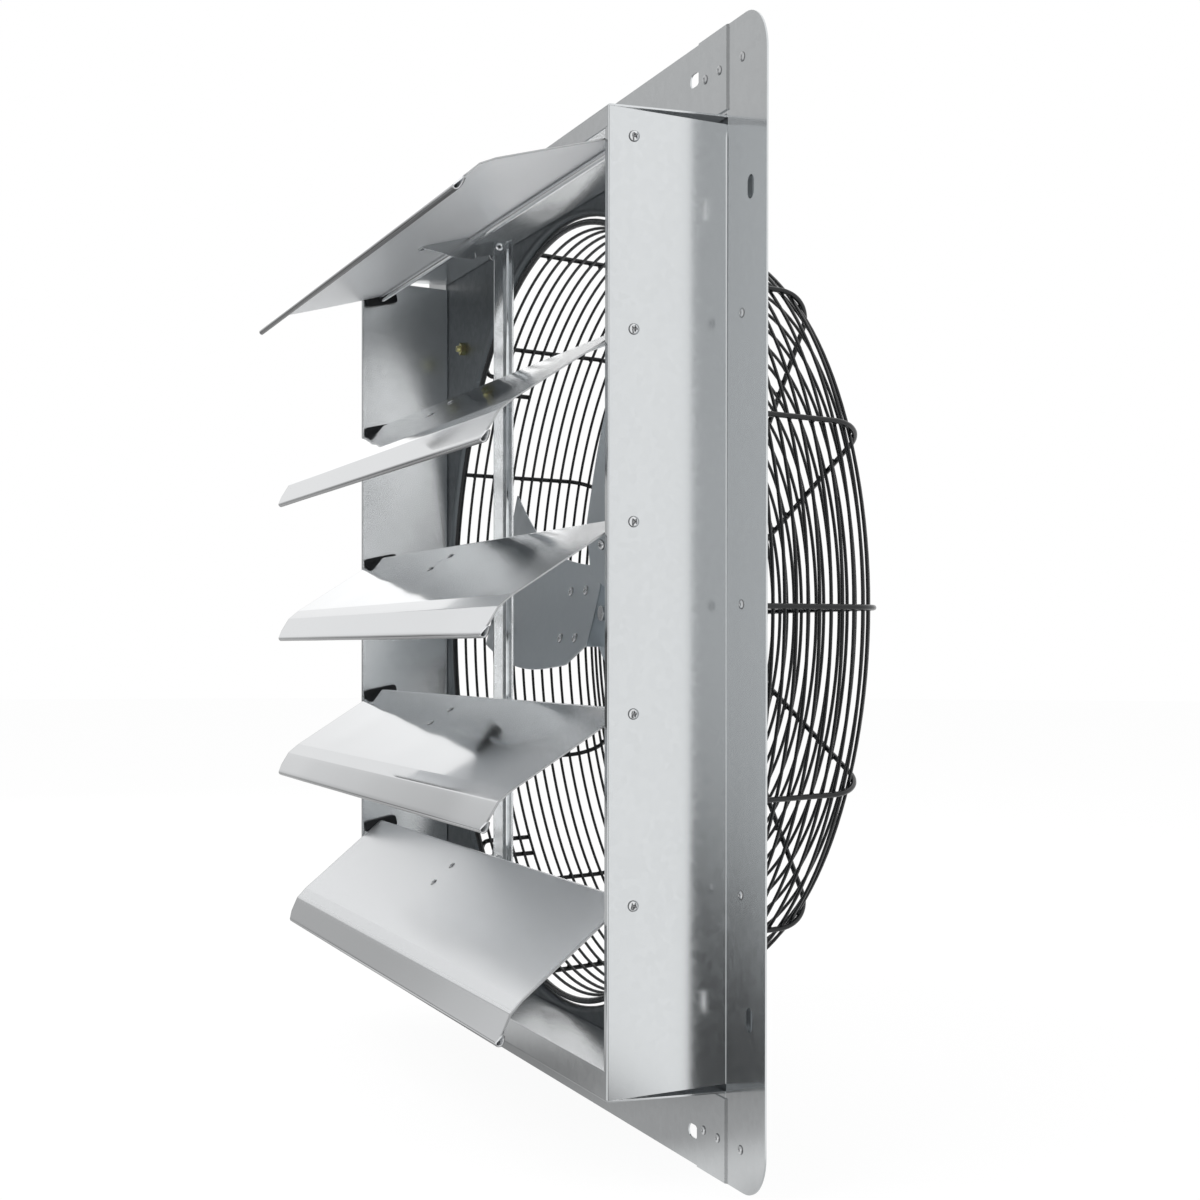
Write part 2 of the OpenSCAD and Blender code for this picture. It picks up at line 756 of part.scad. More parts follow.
// Part of a ring about the hinge, with round ends
module ring_part(r, half_w, from, to) {
    far = 2 * r;
    if (to > from) intersection() {
        difference() {
            circle(r = r + half_w);
            circle(r = r - half_w);
        }
        polygon([[0, 0], far * [cos(from), sin(from)], far * [cos(to), sin(to)]]);
    }
    for (a = [from, to]) translate(r * [cos(a), sin(a)]) circle(r = half_w);
}

// What lies above the room under the top panel when louver k is closed
module over_closed_louver(k) {
    room = bracket_room + hinge_z(0) - hinge_z(k);
    rotate(-flat_angle(k) - swing_ratio[k] * close_angle)
        translate([-2 * link_r, room]) square(4 * link_r);
}

// Louver bracket: a foot under the sheet and a web that reaches to the pin
module louver_bracket(k) {
    from = pin_angle(k) + slot_from(k);
    to = pin_angle(k) + slot_to(k);
    hole_r = link_pin_r + (k == 2 ? fit : pin_play);
    arm = link_r * bracket_arm_shares;
    eye = link_r * [cos(pin_angle(k)), sin(pin_angle(k))];
    side = bracket_eye * [-(eye - arm)[1], (eye - arm)[0]] / norm(eye - arm);
    edge = [for (p = bracket_edge_shares) link_r * p];
    color(galvanised) on_louver(k) difference() {
        union() {
            plate_x(bracket_x - link_t / 2, bracket_x + link_t / 2) difference() {
                union() {
                    polygon([
                        [-foot_end, sheet_under], [-curl_r - link_t, sheet_under],
                        [0, -curl_r], edge[0], edge[1], edge[2],
                        [-foot_end, sheet_under - link_t],
                    ]);
                    polygon([arm + side, arm - side, eye - side, eye + side]);
                    ring_part(link_r, bracket_eye, from, to);
                }
                circle(r = curl_r + slack);
                ring_part(link_r, hole_r, from, to);
                over_closed_louver(k);
            }
            translate([foot_x - foot_w / 2, -foot_end, sheet_under - link_t])
                cube([foot_w + link_t / 2, foot_len, link_t]);
        }
        for (s = foot_rivet_shares) translate([foot_x, -foot_start - s * foot_len, -link_r])
            cylinder(h = 2 * link_r, r = foot_rivet_r + fit);
    }
}

module louver_bracket_1() { louver_bracket(0); }
module louver_bracket_2() { louver_bracket(1); }
module louver_bracket_3() { louver_bracket(2); }
module louver_bracket_4() { louver_bracket(3); }
module louver_bracket_5() { louver_bracket(4); }

module louver_rivets(k) {
    color(steel) on_louver(k) for (s = foot_rivet_shares)
        translate([foot_x, -foot_start - s * foot_len, 0]) {
            translate([0, 0, curl_r]) dome(foot_head_r, foot_head_h);
            translate([0, 0, sheet_under - link_t - foot_head_h / 2])
                cylinder(h = link_t + louver_t + foot_head_h, r = foot_rivet_r);
            translate([0, 0, sheet_under - link_t - foot_head_h])
                cylinder(h = foot_head_h, r = foot_head_r * tail_share);
        }
}

module louver_rivets_1() { louver_rivets(0); }
module louver_rivets_2() { louver_rivets(1); }
module louver_rivets_3() { louver_rivets(2); }
module louver_rivets_4() { louver_rivets(3); }
module louver_rivets_5() { louver_rivets(4); }

// Tie bar

module tie_bar() {
    y0 = hinge_y + pin_y - bar_front;
    y1 = hinge_y + pin_y + bar_rear;
    z0 = hinge_z(louver_count - 1) + pin_z - bar_foot;
    z1 = hinge_z(0) + pin_z + bar_top;
    x0 = -link_x - link_t / 2;
    color(galvanised) difference() {
        union() {
            translate([x0, y0, z0]) cube([link_t, y1 - y0, z1 - z0]);
            translate([x0, y1 - link_t, z0]) cube([bar_leg, link_t, z1 - z0]);
        }
        for (k = [0 : louver_count - 1]) translate([0, hinge_y + pin_y, hinge_z(k) + pin_z])
            bar_x(link_pin_r + fit, x0 - over, x0 + link_t + over);
    }
}

module tie_bar_pins() {
    front = -link_x + link_t / 2;
    rear = bracket_x - link_t / 2 - slack;
    color(steel) for (k = [0 : louver_count - 1])
        translate([0, hinge_y + pin_y, hinge_z(k) + pin_z]) {
            translate([front, 0, 0]) rotate([0, 90, 0]) dome(link_head_r, link_head_h);
            bar_x(link_pin_r, rear - link_head_h / 2, front + link_head_h / 2);
            bar_x(link_head_r, rear - link_head_h, rear);
        }
}

// Guard

module ring(r, y, wire_r) {
    turn_y() translate([r, y]) circle(r = wire_r, $fn = 24);
}

module guard_base_ring() color(black_wire) ring(base_r, base_y, base_wire_r);

module guard_wall_rings() {
    color(black_wire) for (k = [1 : wall_rings])
        ring(wall_at(k * wall_pitch)[0], wall_at(k * wall_pitch)[1], ring_wire_r);
}

module guard_face_rings() {
    color(black_wire) for (k = [0 : face_rings - 1])
        ring(crest_r - k * face_pitch, face_y(crest_r - k * face_pitch), ring_wire_r);
}

// One rib, from the base ring up the wall, round the bend and in to the plate
module guard_rib() {
    sweep_r = guard_bend + rib_offset;
    start = [base_r, base_y + base_wire_r + fit, 0];
    bend = [for (i = [0 : rib_bend_steps])
        let (a = guard_lean_angle + i * bend_turn / rib_bend_steps)
        [bend_r + sweep_r * cos(a), bend_y + sweep_r * sin(a), 0]];
    reach = (bend[rib_bend_steps][0] - rib_end_r) * [1, tan(guard_dish_angle), 0];
    wire(concat([start], bend, [bend[rib_bend_steps] - reach]), rib_wire_r, [0, 0, 1]);
}

module guard_ribs() {
    color(black_wire) for (k = [0 : rib_count - 1])
        rotate([0, -k * 360 / rib_count, 0]) guard_rib();
}

// One foot: a wire loop from the wall over the base ring and round its bolt
module guard_foot() {
    half = foot_loop / 2;
    top_r = wall_at(foot_top_y - base_y)[0] + foot_leg_gap;
    low_r = wall_at(foot_over_y + foot_wire_d - base_y)[0] + foot_leg_gap;
    leg = [
        [top_r, foot_top_y], [low_r, foot_over_y + foot_wire_d],
        [low_r + foot_wire_d * foot_turn_share, foot_over_y + foot_wire_d * foot_turn_share],
        [low_r + foot_wire_d, foot_over_y], [foot_clear, foot_over_y],
        [foot_drop, foot_y], [bolt_r, foot_y],
    ];
    wire(concat(
        [for (q = leg) [q[0], q[1], -half]],
        [for (i = [1 : foot_loop_steps - 1])
            let (a = -90 + i * 180 / foot_loop_steps)
            [bolt_r + half * cos(a), foot_y, half * sin(a)]],
        [for (i = [len(leg) - 1 : -1 : 0]) [leg[i][0], leg[i][1], half]]
    ), foot_wire_r, [0, 0, 1]);
}

module guard_feet() {
    color(black_wire) quadrants() rotate([0, -bolt_angle, 0]) guard_foot();
}

module guard_bolts() {
    top = foot_y + foot_wire_r + fit;
    color(yellow_zinc) quadrants() translate([guard_bolt_x, 0, guard_bolt_z]) {
        bar_y(bolt_shank_r, plate_front - nut_h - bolt_end, top + bolt_washer_h);
        bar_y(bolt_washer_r, top, top + bolt_washer_h);
        translate([0, top + bolt_washer_h, 0]) rotate([-90, 0, 0])
            cylinder(h = bolt_head_h, r = bolt_head_r, $fn = 6);
    }
}

module guard_nuts() {
    color(yellow_zinc) quadrants() translate([guard_bolt_x, plate_front, guard_bolt_z])
        rotate([90, 0, 0]) difference() {
            cylinder(h = nut_h, r = nut_r, $fn = 6);
            translate([0, 0, -over]) cylinder(h = nut_h + 2 * over, r = bolt_shank_r + fit);
        }
}

// Motor

// Places children on the circle of the motor bolts
module at_motor_bolts() {
    for (k = [0 : motor_bolt_holes - 1])
        rotate([0, motor_bolt_angle + k * 360 / motor_bolt_holes, 0])
            translate([motor_bolt_at, 0, 0]) children();
}

module motor_plate() {
    color(black_wire) difference() {
        bar_y(mount_r, mount_front, mount_rear);
        at_motor_bolts() bar_y(motor_bolt_r + fit, mount_front - over, mount_rear + over);
    }
}

module motor_shell() {
    color(black_wire) difference() {
        bar_y(motor_r, motor_front + bell_t, motor_rear - bell_t);
        bar_y(shell_in, motor_front, motor_rear);
    }
}

// End bell, drawn at y = 0 with its boss towards +Y
module motor_bell() {
    difference() {
        union() {
            bar_y(motor_r, 0, bell_t);
            bar_y(boss_r, 0, bearing_inset + bearing_w);
        }
        bar_y(bearing_r + fit, bearing_inset, bearing_inset + bearing_w + over);
        bar_y(shaft_r + over, -over, bearing_inset + over);
        at_motor_bolts() bar_y(motor_bolt_r + fit, -over, bell_t + over);
        for (k = [0 : vent_count - 1]) rotate([0, (k + 0.5) * 360 / vent_count, 0])
            translate([vent_at, 0, 0]) bar_y(vent_r, -over, bell_t + over);
    }
}

module motor_front_bell() {
    color(black_wire) translate([0, motor_front, 0]) motor_bell();
}

module motor_rear_bell() {
    color(black_wire) translate([0, motor_rear, 0]) mirror([0, 1, 0]) motor_bell();
}

module stator() {
    y0 = motor_mid - stator_len / 2;
    y1 = motor_mid + stator_len / 2;
    color("dimgray") difference() {
        bar_y(shell_in - fit, y0, y1);
        bar_y(stator_in, y0 - over, y1 + over);
        at_motor_bolts() bar_y(motor_bolt_r + slack, y0 - over, y1 + over);
    }
}

module windings() {
    color("peru") for (m = [0, 1]) translate([0, motor_mid, 0]) mirror([0, m, 0]) difference() {
        bar_y(winding_out, stator_len / 2, stator_len / 2 + winding_len);
        bar_y(winding_in, stator_len / 2 - over, stator_len / 2 + winding_len + over);
    }
}

module bearing() {
    difference() {
        bar_y(bearing_r, 0, bearing_w);
        bar_y(shaft_r + fit, -over, bearing_w + over);
    }
}

module front_bearing() {
    color(steel) translate([0, motor_front + bearing_inset, 0]) bearing();
}

module rear_bearing() {
    color(steel) translate([0, motor_rear - bearing_inset, 0]) mirror([0, 1, 0]) bearing();
}

module motor_bolts() {
    color(steel) at_motor_bolts() {
        bar_y(motor_bolt_r, motor_front, mount_rear + mount_nut_h + over);
        bar_y(motor_bolt_head_r, motor_front - motor_bolt_head_h, motor_front);
    }
}

module mount_nuts() {
    color(steel) at_motor_bolts() translate([0, mount_rear, 0]) rotate([-90, 0, 0])
        difference() {
            cylinder(h = mount_nut_h, r = motor_bolt_head_r, $fn = 6);
            translate([0, 0, -over])
                cylinder(h = mount_nut_h + 2 * over, r = motor_bolt_r + fit);
        }
}

module terminal_box() {
    y0 = motor_mid - terminal_len / 2;
    color(black_wire) difference() {
        translate([-terminal_w / 2, y0, -motor_r - terminal_h])
            cube([terminal_w, terminal_len, motor_r + terminal_h - motor_bolt_at]);
        bar_y(motor_r + fit, y0 - over, y0 + terminal_len + over);
    }
}

module cable_gland() {
    base_z = -motor_r - terminal_h;
    gland_r = gland_d / 2;
    color("dimgray") translate([0, motor_mid, base_z]) mirror([0, 0, 1]) difference() {
        union() {
            cylinder(h = gland_nut_len, r = gland_r, $fn = 6);
            cylinder(h = gland_len, r = gland_r * gland_cap_share);
        }
        translate([0, 0, over]) cylinder(h = gland_len, r = gland_r * gland_bore_share);
    }
}

// Fan

module hub() {
    color(steel) difference() {
        bar_y(hub_r, hub_y, hub_y + hub_len);
        bar_y(shaft_r + fit, hub_y - over, hub_y + hub_len + over);
        translate([0, hub_y + hub_len / 2, 0]) cylinder(h = hub_r + over, r = set_screw_r + fit);
    }
}

module set_screw() {
    color("dimgray") translate([0, hub_y + hub_len / 2, shaft_r + fit])
        cylinder(h = hub_r - shaft_r, r = set_screw_r);
}

// Frame of one blade: its arm points to +X and its chord is tilted by the pitch
module in_blade() {
    translate([0, blade_y, 0]) rotate([blade_pitch, 0, 0]) children();
}

// Cylinder of the blade's camber, which bulges to the rear
module camber(r, more = 0) {
    translate([0, -blade_camber, -blade_mid]) bar_x(r, -more, base_r + more, $fn = 360);
}

module camber_shell(r0, r1) {
    difference() {
        camber(r1);
        camber(r0, over);
    }
}

// Places children at the blade rivets, square to the camber
module at_blade_rivets() {
    for (x = [blade_rivet_in, blade_rivet_out], s = [-1, 1])
        translate([0, -blade_camber, -blade_mid])
            rotate([asin((s * blade_rivet_step / 2 + blade_mid) / blade_camber), 0, 0])
                translate([x, blade_camber, 0]) children();
}

module blade_outline() {
    steps = [0 : 1 / curve_steps : 1];
    top = [for (p = top_curve_shares) tip_r * p];
    low = [for (p = low_curve_shares) tip_r * p];
    root = blade_root;
    polygon(concat(
        [[root, tip_r * root_low_share], [root, tip_r * root_high_share]],
        [for (t = steps) curve(top, t)],
        [[2 * tip_r, top[3][1]], [2 * tip_r, low[0][1]]],
        [for (t = steps) curve(low, t)]
    ));
}

// Blade with its arm to +X; the outline is drawn with Z up
module blade(k) {
    color(dull_zinc) rotate([0, -blade_angles[k], 0]) intersection() {
        bar_y(tip_r, 0, 2 * blade_y, $fn = 256);
        difference() {
            in_blade() intersection() {
                camber_shell(blade_camber, blade_camber + blade_t);
                plate_y(-blade_y, blade_y) mirror([0, 1]) blade_outline();
            }
            in_blade() at_blade_rivets() bar_y(blade_rivet_r + fit, -arm_w, arm_w);
        }
    }
}

module blade_1() { blade(0); }
module blade_2() { blade(1); }
module blade_3() { blade(2); }

module spider() {
    arm_in = blade_camber + blade_t;
    color(steel) difference() {
        union() {
            bar_y(disc_r, disc_y, hub_y);
            for (a = blade_angles) rotate([0, -a, 0]) difference() {
                intersection() {
                    translate([blade_root, 0, -arm_w / 2])
                        cube([arm_len - blade_root, disc_y + disc_t / 2, arm_w]);
                    union() {
                        in_blade() camber(arm_in + arm_t);
                        bar_y(disc_r - over, 0, hub_y);
                    }
                }
                in_blade() camber(arm_in, over);
            }
        }
        bar_y(shaft_r + fit, 0, hub_y + over);
        for (a = blade_angles) rotate([0, -a, 0]) in_blade() at_blade_rivets()
            bar_y(blade_rivet_r + fit, -arm_w, arm_w);
    }
}

module blade_rivets() {
    stack = blade_t + arm_t;
    color(steel) for (a = blade_angles) rotate([0, -a, 0]) in_blade() at_blade_rivets() {
        rotate([90, 0, 0]) dome(blade_rivet_head_r, blade_rivet_head_h);
        bar_y(blade_rivet_r, -blade_rivet_head_h / 2, stack + blade_rivet_head_h / 2);
        bar_y(blade_rivet_head_r * tail_share, stack + fit, stack + blade_rivet_head_h);
    }
}

module shaft() {
    color(steel) bar_y(shaft_r, shaft_end, motor_rear - 2 * bearing_inset);
}

module rotor() {
    y0 = motor_mid - stator_len / 2;
    color("gray") difference() {
        bar_y(rotor_r, y0, y0 + stator_len);
        bar_y(shaft_r + fit, y0 - over, y0 + stator_len + over);
    }
}

side_panel_right();
side_panel_left();
top_panel();
bottom_panel();
venturi_plate();
flange_rivets();
tab_rivets();
pivot_screws_right();
pivot_screws_left();
bearings_right();
bearings_left();
louver_1();
louver_2();
louver_3();
louver_4();
louver_5();
louver_bracket_1();
louver_bracket_2();
louver_bracket_3();
louver_bracket_4();
louver_bracket_5();
louver_rivets_1();
louver_rivets_2();
louver_rivets_3();
louver_rivets_4();
louver_rivets_5();
tie_bar();
tie_bar_pins();
guard_base_ring();
guard_wall_rings();
guard_face_rings();
guard_ribs();
guard_feet();
guard_bolts();
guard_nuts();
motor_plate();
motor_shell();
motor_front_bell();
motor_rear_bell();
stator();
windings();
front_bearing();
rear_bearing();
motor_bolts();
mount_nuts();
terminal_box();
cable_gland();
hub();
set_screw();
spider();
blade_1();
blade_2();
blade_3();
blade_rivets();
shaft();
rotor();
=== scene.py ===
import json
import math

import bmesh
import bpy
import numpy as np
from mathutils import Matrix, Vector


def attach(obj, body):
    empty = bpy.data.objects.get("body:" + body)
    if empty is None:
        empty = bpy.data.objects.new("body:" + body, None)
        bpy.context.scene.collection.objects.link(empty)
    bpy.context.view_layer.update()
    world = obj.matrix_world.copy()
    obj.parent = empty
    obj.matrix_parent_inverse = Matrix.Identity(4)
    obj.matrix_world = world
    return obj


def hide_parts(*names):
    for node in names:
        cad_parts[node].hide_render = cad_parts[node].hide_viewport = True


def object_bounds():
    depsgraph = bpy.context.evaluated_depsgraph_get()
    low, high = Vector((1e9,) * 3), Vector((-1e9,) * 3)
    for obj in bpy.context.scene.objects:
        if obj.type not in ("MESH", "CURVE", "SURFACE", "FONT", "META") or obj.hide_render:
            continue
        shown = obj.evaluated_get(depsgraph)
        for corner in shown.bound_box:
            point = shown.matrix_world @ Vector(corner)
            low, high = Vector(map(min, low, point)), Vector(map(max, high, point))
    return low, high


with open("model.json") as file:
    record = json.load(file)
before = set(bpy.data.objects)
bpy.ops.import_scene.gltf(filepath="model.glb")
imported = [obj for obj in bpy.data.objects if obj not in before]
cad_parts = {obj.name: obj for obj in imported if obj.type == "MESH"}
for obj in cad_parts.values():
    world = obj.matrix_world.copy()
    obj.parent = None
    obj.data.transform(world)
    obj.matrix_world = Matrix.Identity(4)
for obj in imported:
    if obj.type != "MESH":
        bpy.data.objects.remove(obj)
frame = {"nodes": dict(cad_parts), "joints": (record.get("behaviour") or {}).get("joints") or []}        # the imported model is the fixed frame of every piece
CAD_BOX = [list(corner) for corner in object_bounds()]

bl_info = {
    "name": "Shutter exhaust fan",
    "version": (1, 0, 0),
    "blender": (4, 5, 0),
    "location": "View3D > Sidebar > Exhaust fan",
    "description": "Dresses the packed exhaust fan with its sheets, wires, fasteners and finishes",
    "category": "Object",
}

TURN = 2 * math.pi
MERGE = 1e-6
CLEAR = 0.0001           # air between two wires that touch
AXIS_X, AXIS_Y, AXIS_Z = (1, 0, 0), (0, 1, 0), (0, 0, 1)


# Sizes and colours that a user would change

def length(name, default, description):
    """A length in metres, as a property."""
    return bpy.props.FloatProperty(
        name=name, default=default, description=description,
        unit="LENGTH", subtype="DISTANCE", precision=5)


def angle(name, default, description):
    """An angle whose default is given in degrees, as a property."""
    return bpy.props.FloatProperty(
        name=name, default=math.radians(default), description=description,
        unit="ROTATION", subtype="ANGLE")


def colour(name, default, description):
    """A colour in linear light, as a property."""
    return bpy.props.FloatVectorProperty(
        name=name, default=default, description=description,
        subtype="COLOR", size=3, min=0, max=1)


class BoxSizes(bpy.types.PropertyGroup):
    half: length("Box half", 0.3125, "Half of the box's width and height")
    depth: length("Box depth", 0.0815, "From the flange to the shutter's front")
    sheet: length("Sheet", 0.0012, "Thickness of the box's sheets")
    fold: length("Bend radius", 0.0015, "Outer radius of the box's bends")
    edge: length("Edge radius", 0.00025, "Rounding of the cut edges")


class LouverSizes(bpy.types.PropertyGroup):
    half: length("Half width", 0.3055, "Half of a louver's width")
    sheet: length("Sheet", 0.001, "Thickness of a louver's sheet")
    pitch: length("Pitch", 0.1208, "From one hinge to the next")
    fold: length("Fold", 0.0115, "Length of the strip between the flat and the lip")
    lip: length("Lip", 0.021, "Length of the front lip")
    hem: length("Hem", 0.0075, "Length of the edge rolled back under the lip")
    hem_r: length("Hem radius", 0.0018, "Radius of the roll at the front edge")
    chamfer: length("Corner", 0.007, "Cut at the front corners")
    curl: length("Curl", 0.0065, "Diameter of the rolled hinge")
    bend: length("Bend radius", 0.003, "Radius of the louver's bends")
    fold_angle: angle("Fold angle", 7, "Slope of the fold below the flat")
    lip_angle: angle("Lip angle", 26, "Slope of the lip below the flat")
    wave: length("Wave", 0.00013, "Depth of the waves in the flat sheet")


class GuardSizes(bpy.types.PropertyGroup):
    base_r: length("Base ring", 0.302, "Radius of the thick base ring")
    base_y: length("Base ring depth", 0.0054, "How far the base ring stands behind the flange")
    base_wire: length("Base wire", 0.0024, "Radius of the base ring's wire")
    ring_wire: length("Ring wire", 0.00125, "Radius of the thin rings' wire")
    rib_wire: length("Rib wire", 0.0019, "Radius of the ribs' wire")
    foot_wire: length("Foot wire", 0.002, "Radius of the feet's wire")
    offset: length("Offset", 0.0032, "From the middle of a ring's wire to the middle of a rib's")
    lean: angle("Lean", 5.2, "How far the wall leans inwards")
    bend: length("Bend", 0.027, "Radius of the bend from wall to face")
    dish: angle("Dish", 1.7, "Slope of the face")
    depth: length("Depth", 0.126, "Where the guard's face is deepest")
    wall_pitch: length("Wall pitch", 0.009, "From one wall ring to the next")
    face_pitch: length("Face pitch", 0.011, "From one face ring to the next")
    rib_end: length("Rib end", 0.068, "Radius where the ribs end on the plate")
    mount_r: length("Mounting plate", 0.08, "Radius of the mounting plate")
    bolt_x: length("Bolt X", 0.258, "Place of the guard's bolts along X")
    bolt_z: length("Bolt Z", 0.244, "Place of the guard's bolts along Z")


class FanSizes(bpy.types.PropertyGroup):
    tip: length("Tip radius", 0.287, "Radius of the blades' tips")
    root: length("Root", 0.021, "Where a blade begins")
    sheet: length("Sheet", 0.0015, "Thickness of a blade")
    blade_y: length("Blade depth", 0.037, "How far the blades stand behind the flange")
    pitch: angle("Pitch", 12, "Tilt of a blade")
    camber: length("Camber", 0.6, "Radius of a blade's curve")


class FinishColours(bpy.types.PropertyGroup):
    zinc: colour("Galvanised sheet", (0.575, 0.592, 0.602), "Box and flange")
    louver: colour("Louver sheet", (0.75, 0.765, 0.78), "Bright louvers")
    # painted shade: a tone far darker than the box's zinc, for the dark that this plate mirrors
    dull: colour("Dull zinc", (0.125, 0.138, 0.147), "Plate with the fan opening")
    blade: colour("Blade sheet", (0.46, 0.495, 0.52), "Blades")
    spider: colour("Spider", (0.598, 0.6435, 0.676), "Disc and arms that carry the blades")
    steel: colour("Plain steel", (0.58, 0.59, 0.6), "Rivets, screws and shaft")
    yellow: colour("Yellow zinc", (0.62, 0.5, 0.22), "Bolts and nuts of the guard")
    black: colour("Black coat", (0.006, 0.007, 0.008), "Guard and motor")
    core: colour("Core sheets", (0.22, 0.22, 0.23), "Rotor and stator")
    copper: colour("Winding wire", (0.5, 0.17, 0.06), "Enamelled wire")


GROUPS = {
    "fan_box": BoxSizes, "fan_louvers": LouverSizes, "fan_guard": GuardSizes,
    "fan_blades": FanSizes, "fan_colours": FinishColours,
}


def sizes(group):
    return getattr(bpy.context.scene, group)


# Shader arithmetic

def feed(tree, sockets, values):
    """Gives each socket its plain value, or links it to a shader value."""
    for key, value in values.items():
        if isinstance(value, Value):
            tree.links.new(value.socket, sockets[key])
        else:
            sockets[key].default_value = value


class Value:
    """A shader socket in a Python expression: each operator adds its Math node."""

    def __init__(self, tree, socket):
        self.tree, self.socket = tree, socket

    def maths(self, operation, *terms):
        node = self.tree.nodes.new("ShaderNodeMath")
        node.operation = operation
        feed(self.tree, node.inputs, dict(enumerate(terms)))
        return Value(self.tree, node.outputs[0])

    def __add__(self, other):
        return self.maths("ADD", self, other)

    def __sub__(self, other):
        return self.maths("SUBTRACT", self, other)

    def __rsub__(self, other):
        return self.maths("SUBTRACT", other, self)

    def __mul__(self, other):
        return self.maths("MULTIPLY", self, other)

    def clamped(self):
        return self.maths("MINIMUM", self.maths("MAXIMUM", self, 0.0), 1.0)

    __radd__ = __add__
    __rmul__ = __mul__


class Recipe:
    """A material or world and the nodes that it is made of."""

    def __init__(self, owner):
        self.owner = owner
        owner.use_nodes = True
        self.tree = owner.node_tree
        self.tree.nodes.clear()

    def node(self, kind, sockets=(), output=0, **settings):
        """Adds a node with its settings and its sockets' values or links."""
        node = self.tree.nodes.new(kind)
        for key, value in settings.items():
            setattr(node, key, value)
        feed(self.tree, node.inputs, dict(sockets))
        return Value(self.tree, node.outputs[output]) if node.outputs else node

    def place(self, scale=(1, 1, 1)):
        """Object coordinates, stretched by a scale for each axis."""
        where = self.node("ShaderNodeTexCoord", output="Object")
        return self.node("ShaderNodeMapping", {"Vector": where, "Scale": scale})

    def noise(self, scale, detail=3, roughness=0.5, stretch=(1, 1, 1)):
        return self.node("ShaderNodeTexNoise", {
            "Vector": self.place(stretch), "Scale": scale, "Detail": detail,
            "Roughness": roughness})

    def mix(self, factor, low, high):
        """A colour between two others."""
        return self.node("ShaderNodeMix", {0: factor, 6: low, 7: high}, 2, data_type="RGBA")

    def shades(self, factor, tone, low, high):
        """A colour between two brightnesses of one tone."""
        return self.mix(factor, tinted(tone, low), tinted(tone, high))

    def bump(self, height, distance, strength=1.0):
        return self.node("ShaderNodeBump", {
            "Height": height, "Distance": distance, "Strength": strength})

    def attribute(self, name):
        return self.node("ShaderNodeAttribute", output="Fac", attribute_name=name)


def tinted(tone, gain=1.0):
    return (*[min(1.0, c * gain) for c in tone], 1.0)


def vary(base, *parts):
    """The base plus each noise about its middle, for pairs of a noise and its share."""
    for noise, share in parts:
        base = (noise - 0.5) * share + base
    return base.clamped()


# Finishes: each gives the shader's inputs for a recipe and a tone

def sheet_metal(r, tone, roughness, spangle, grain, streak=(1, 1, 1), metal=1.0):
    """Zinc sheet: small crystals of slightly different grey, clouds, and fine rolling lines."""
    cells = r.node("ShaderNodeTexVoronoi", {"Vector": r.place(), "Scale": 190.0}, "Color")
    crystal = r.node("ShaderNodeSeparateColor", {0: cells})
    cloud = r.noise(7.0, 3)
    lines = r.noise(55.0, 2, 0.6, streak)
    fine = r.noise(1400.0, 2, 0.7)
    shade = vary(0.5, (crystal, spangle), (cloud, 0.28), (lines, grain), (fine, grain))
    return {
        "Base Color": r.shades(shade, tone, 0.86, 1.14),
        "Metallic": metal,
        "Roughness": vary(roughness, (cloud, 0.25 * roughness), (crystal, 0.2 * roughness),
                          (fine, 0.3 * roughness)),
        "Normal": r.bump(fine + lines * 0.6, 0.00002, 0.35),
    }


def galvanised(r, tone):
    """Zinc sheet of the box: its outer side shines; its inner side is rougher and grained,
    and its colour there is painted paler, as painted light.
    """
    inner = r.attribute("inner")
    look = sheet_metal(r, tone, 0.16, 0.14, 0.12, (1, 1, 0.02))
    grain = vary(0.5, (r.noise(620.0, 2, 0.7), 0.9), (r.noise(14.0, 4, 0.6), 0.7))
    # painted light: the inner side's colour is lifted to 1.2 to 1.62 times the tone
    matt = r.shades(grain, tone, 1.2, 1.62)
    look["Base Color"] = r.mix(inner.clamped(), look["Base Color"], matt)
    look["Metallic"] = 1 - inner * 0.12
    look["Roughness"] = look["Roughness"] + inner * 0.06
    return look


def mottled_zinc(r, tone):
    """Sheet of the tie bar, with soft mottling."""
    look = sheet_metal(r, tone, 0.1, 0.05, 0.2, metal=0.95)
    look["Base Color"] = r.shades(vary(0.5, (r.noise(75.0, 4, 0.7), 1.6)), tone, 1.15, 1.55)
    return look


def louver_metal(r, tone):
    """Bright rolled sheet: it mirrors its surroundings, softened by faint clouds and scratches.
    It is dark at its bare cut ends and under painted shade on its hem. Where marked, it is
    rougher and less metallic, and its colour is painted paler as painted light."""
    cloud = r.noise(5.0, 3)
    scratch = r.noise(120.0, 4, 0.7, (0.05, 1, 1))
    worn, matt = r.attribute("worn"), r.attribute("matt")
    shade = vary(0.5, (cloud, 0.3), (scratch, 0.08), (r.noise(1800.0, 2, 0.6), 0.06))
    # painted light: the marked parts take a paler colour
    bright = r.mix(matt.clamped(), r.shades(shade, tone, 0.95, 1.1), tinted(tone, 1.15))
    gloss = vary(0.058, (cloud, 0.06), (scratch, 0.02)) + worn * 0.25 + matt * 0.28
    return {
        # painted shade on the hem, and dark bare cut ends
        "Base Color": r.mix(worn.clamped(), bright, tinted(tone, 0.09)),
        "Metallic": 1 - matt * 0.65,
        "Roughness": gloss.clamped(),
        "Normal": r.bump(r.noise(6.0, 0), 0.0009, 0.06),
    }


def bright_steel(r, tone, roughness):
    """Turned or pressed steel, darkened where painted shade is marked on it."""
    turned_marks = r.noise(420.0, 3, 0.6)
    bright = r.shades(r.noise(60.0, 2), tone, 0.9, 1.3)
    # painted shade: the marked rims and recesses of heads turn nearly black
    return {
        "Base Color": r.mix(r.attribute("worn").clamped(), bright, tinted(tone, 0.1)),
        "Metallic": 1.0,
        "Roughness": vary(roughness, (turned_marks, 0.15)),
        "Normal": r.bump(turned_marks, 0.00003, 0.3),
    }


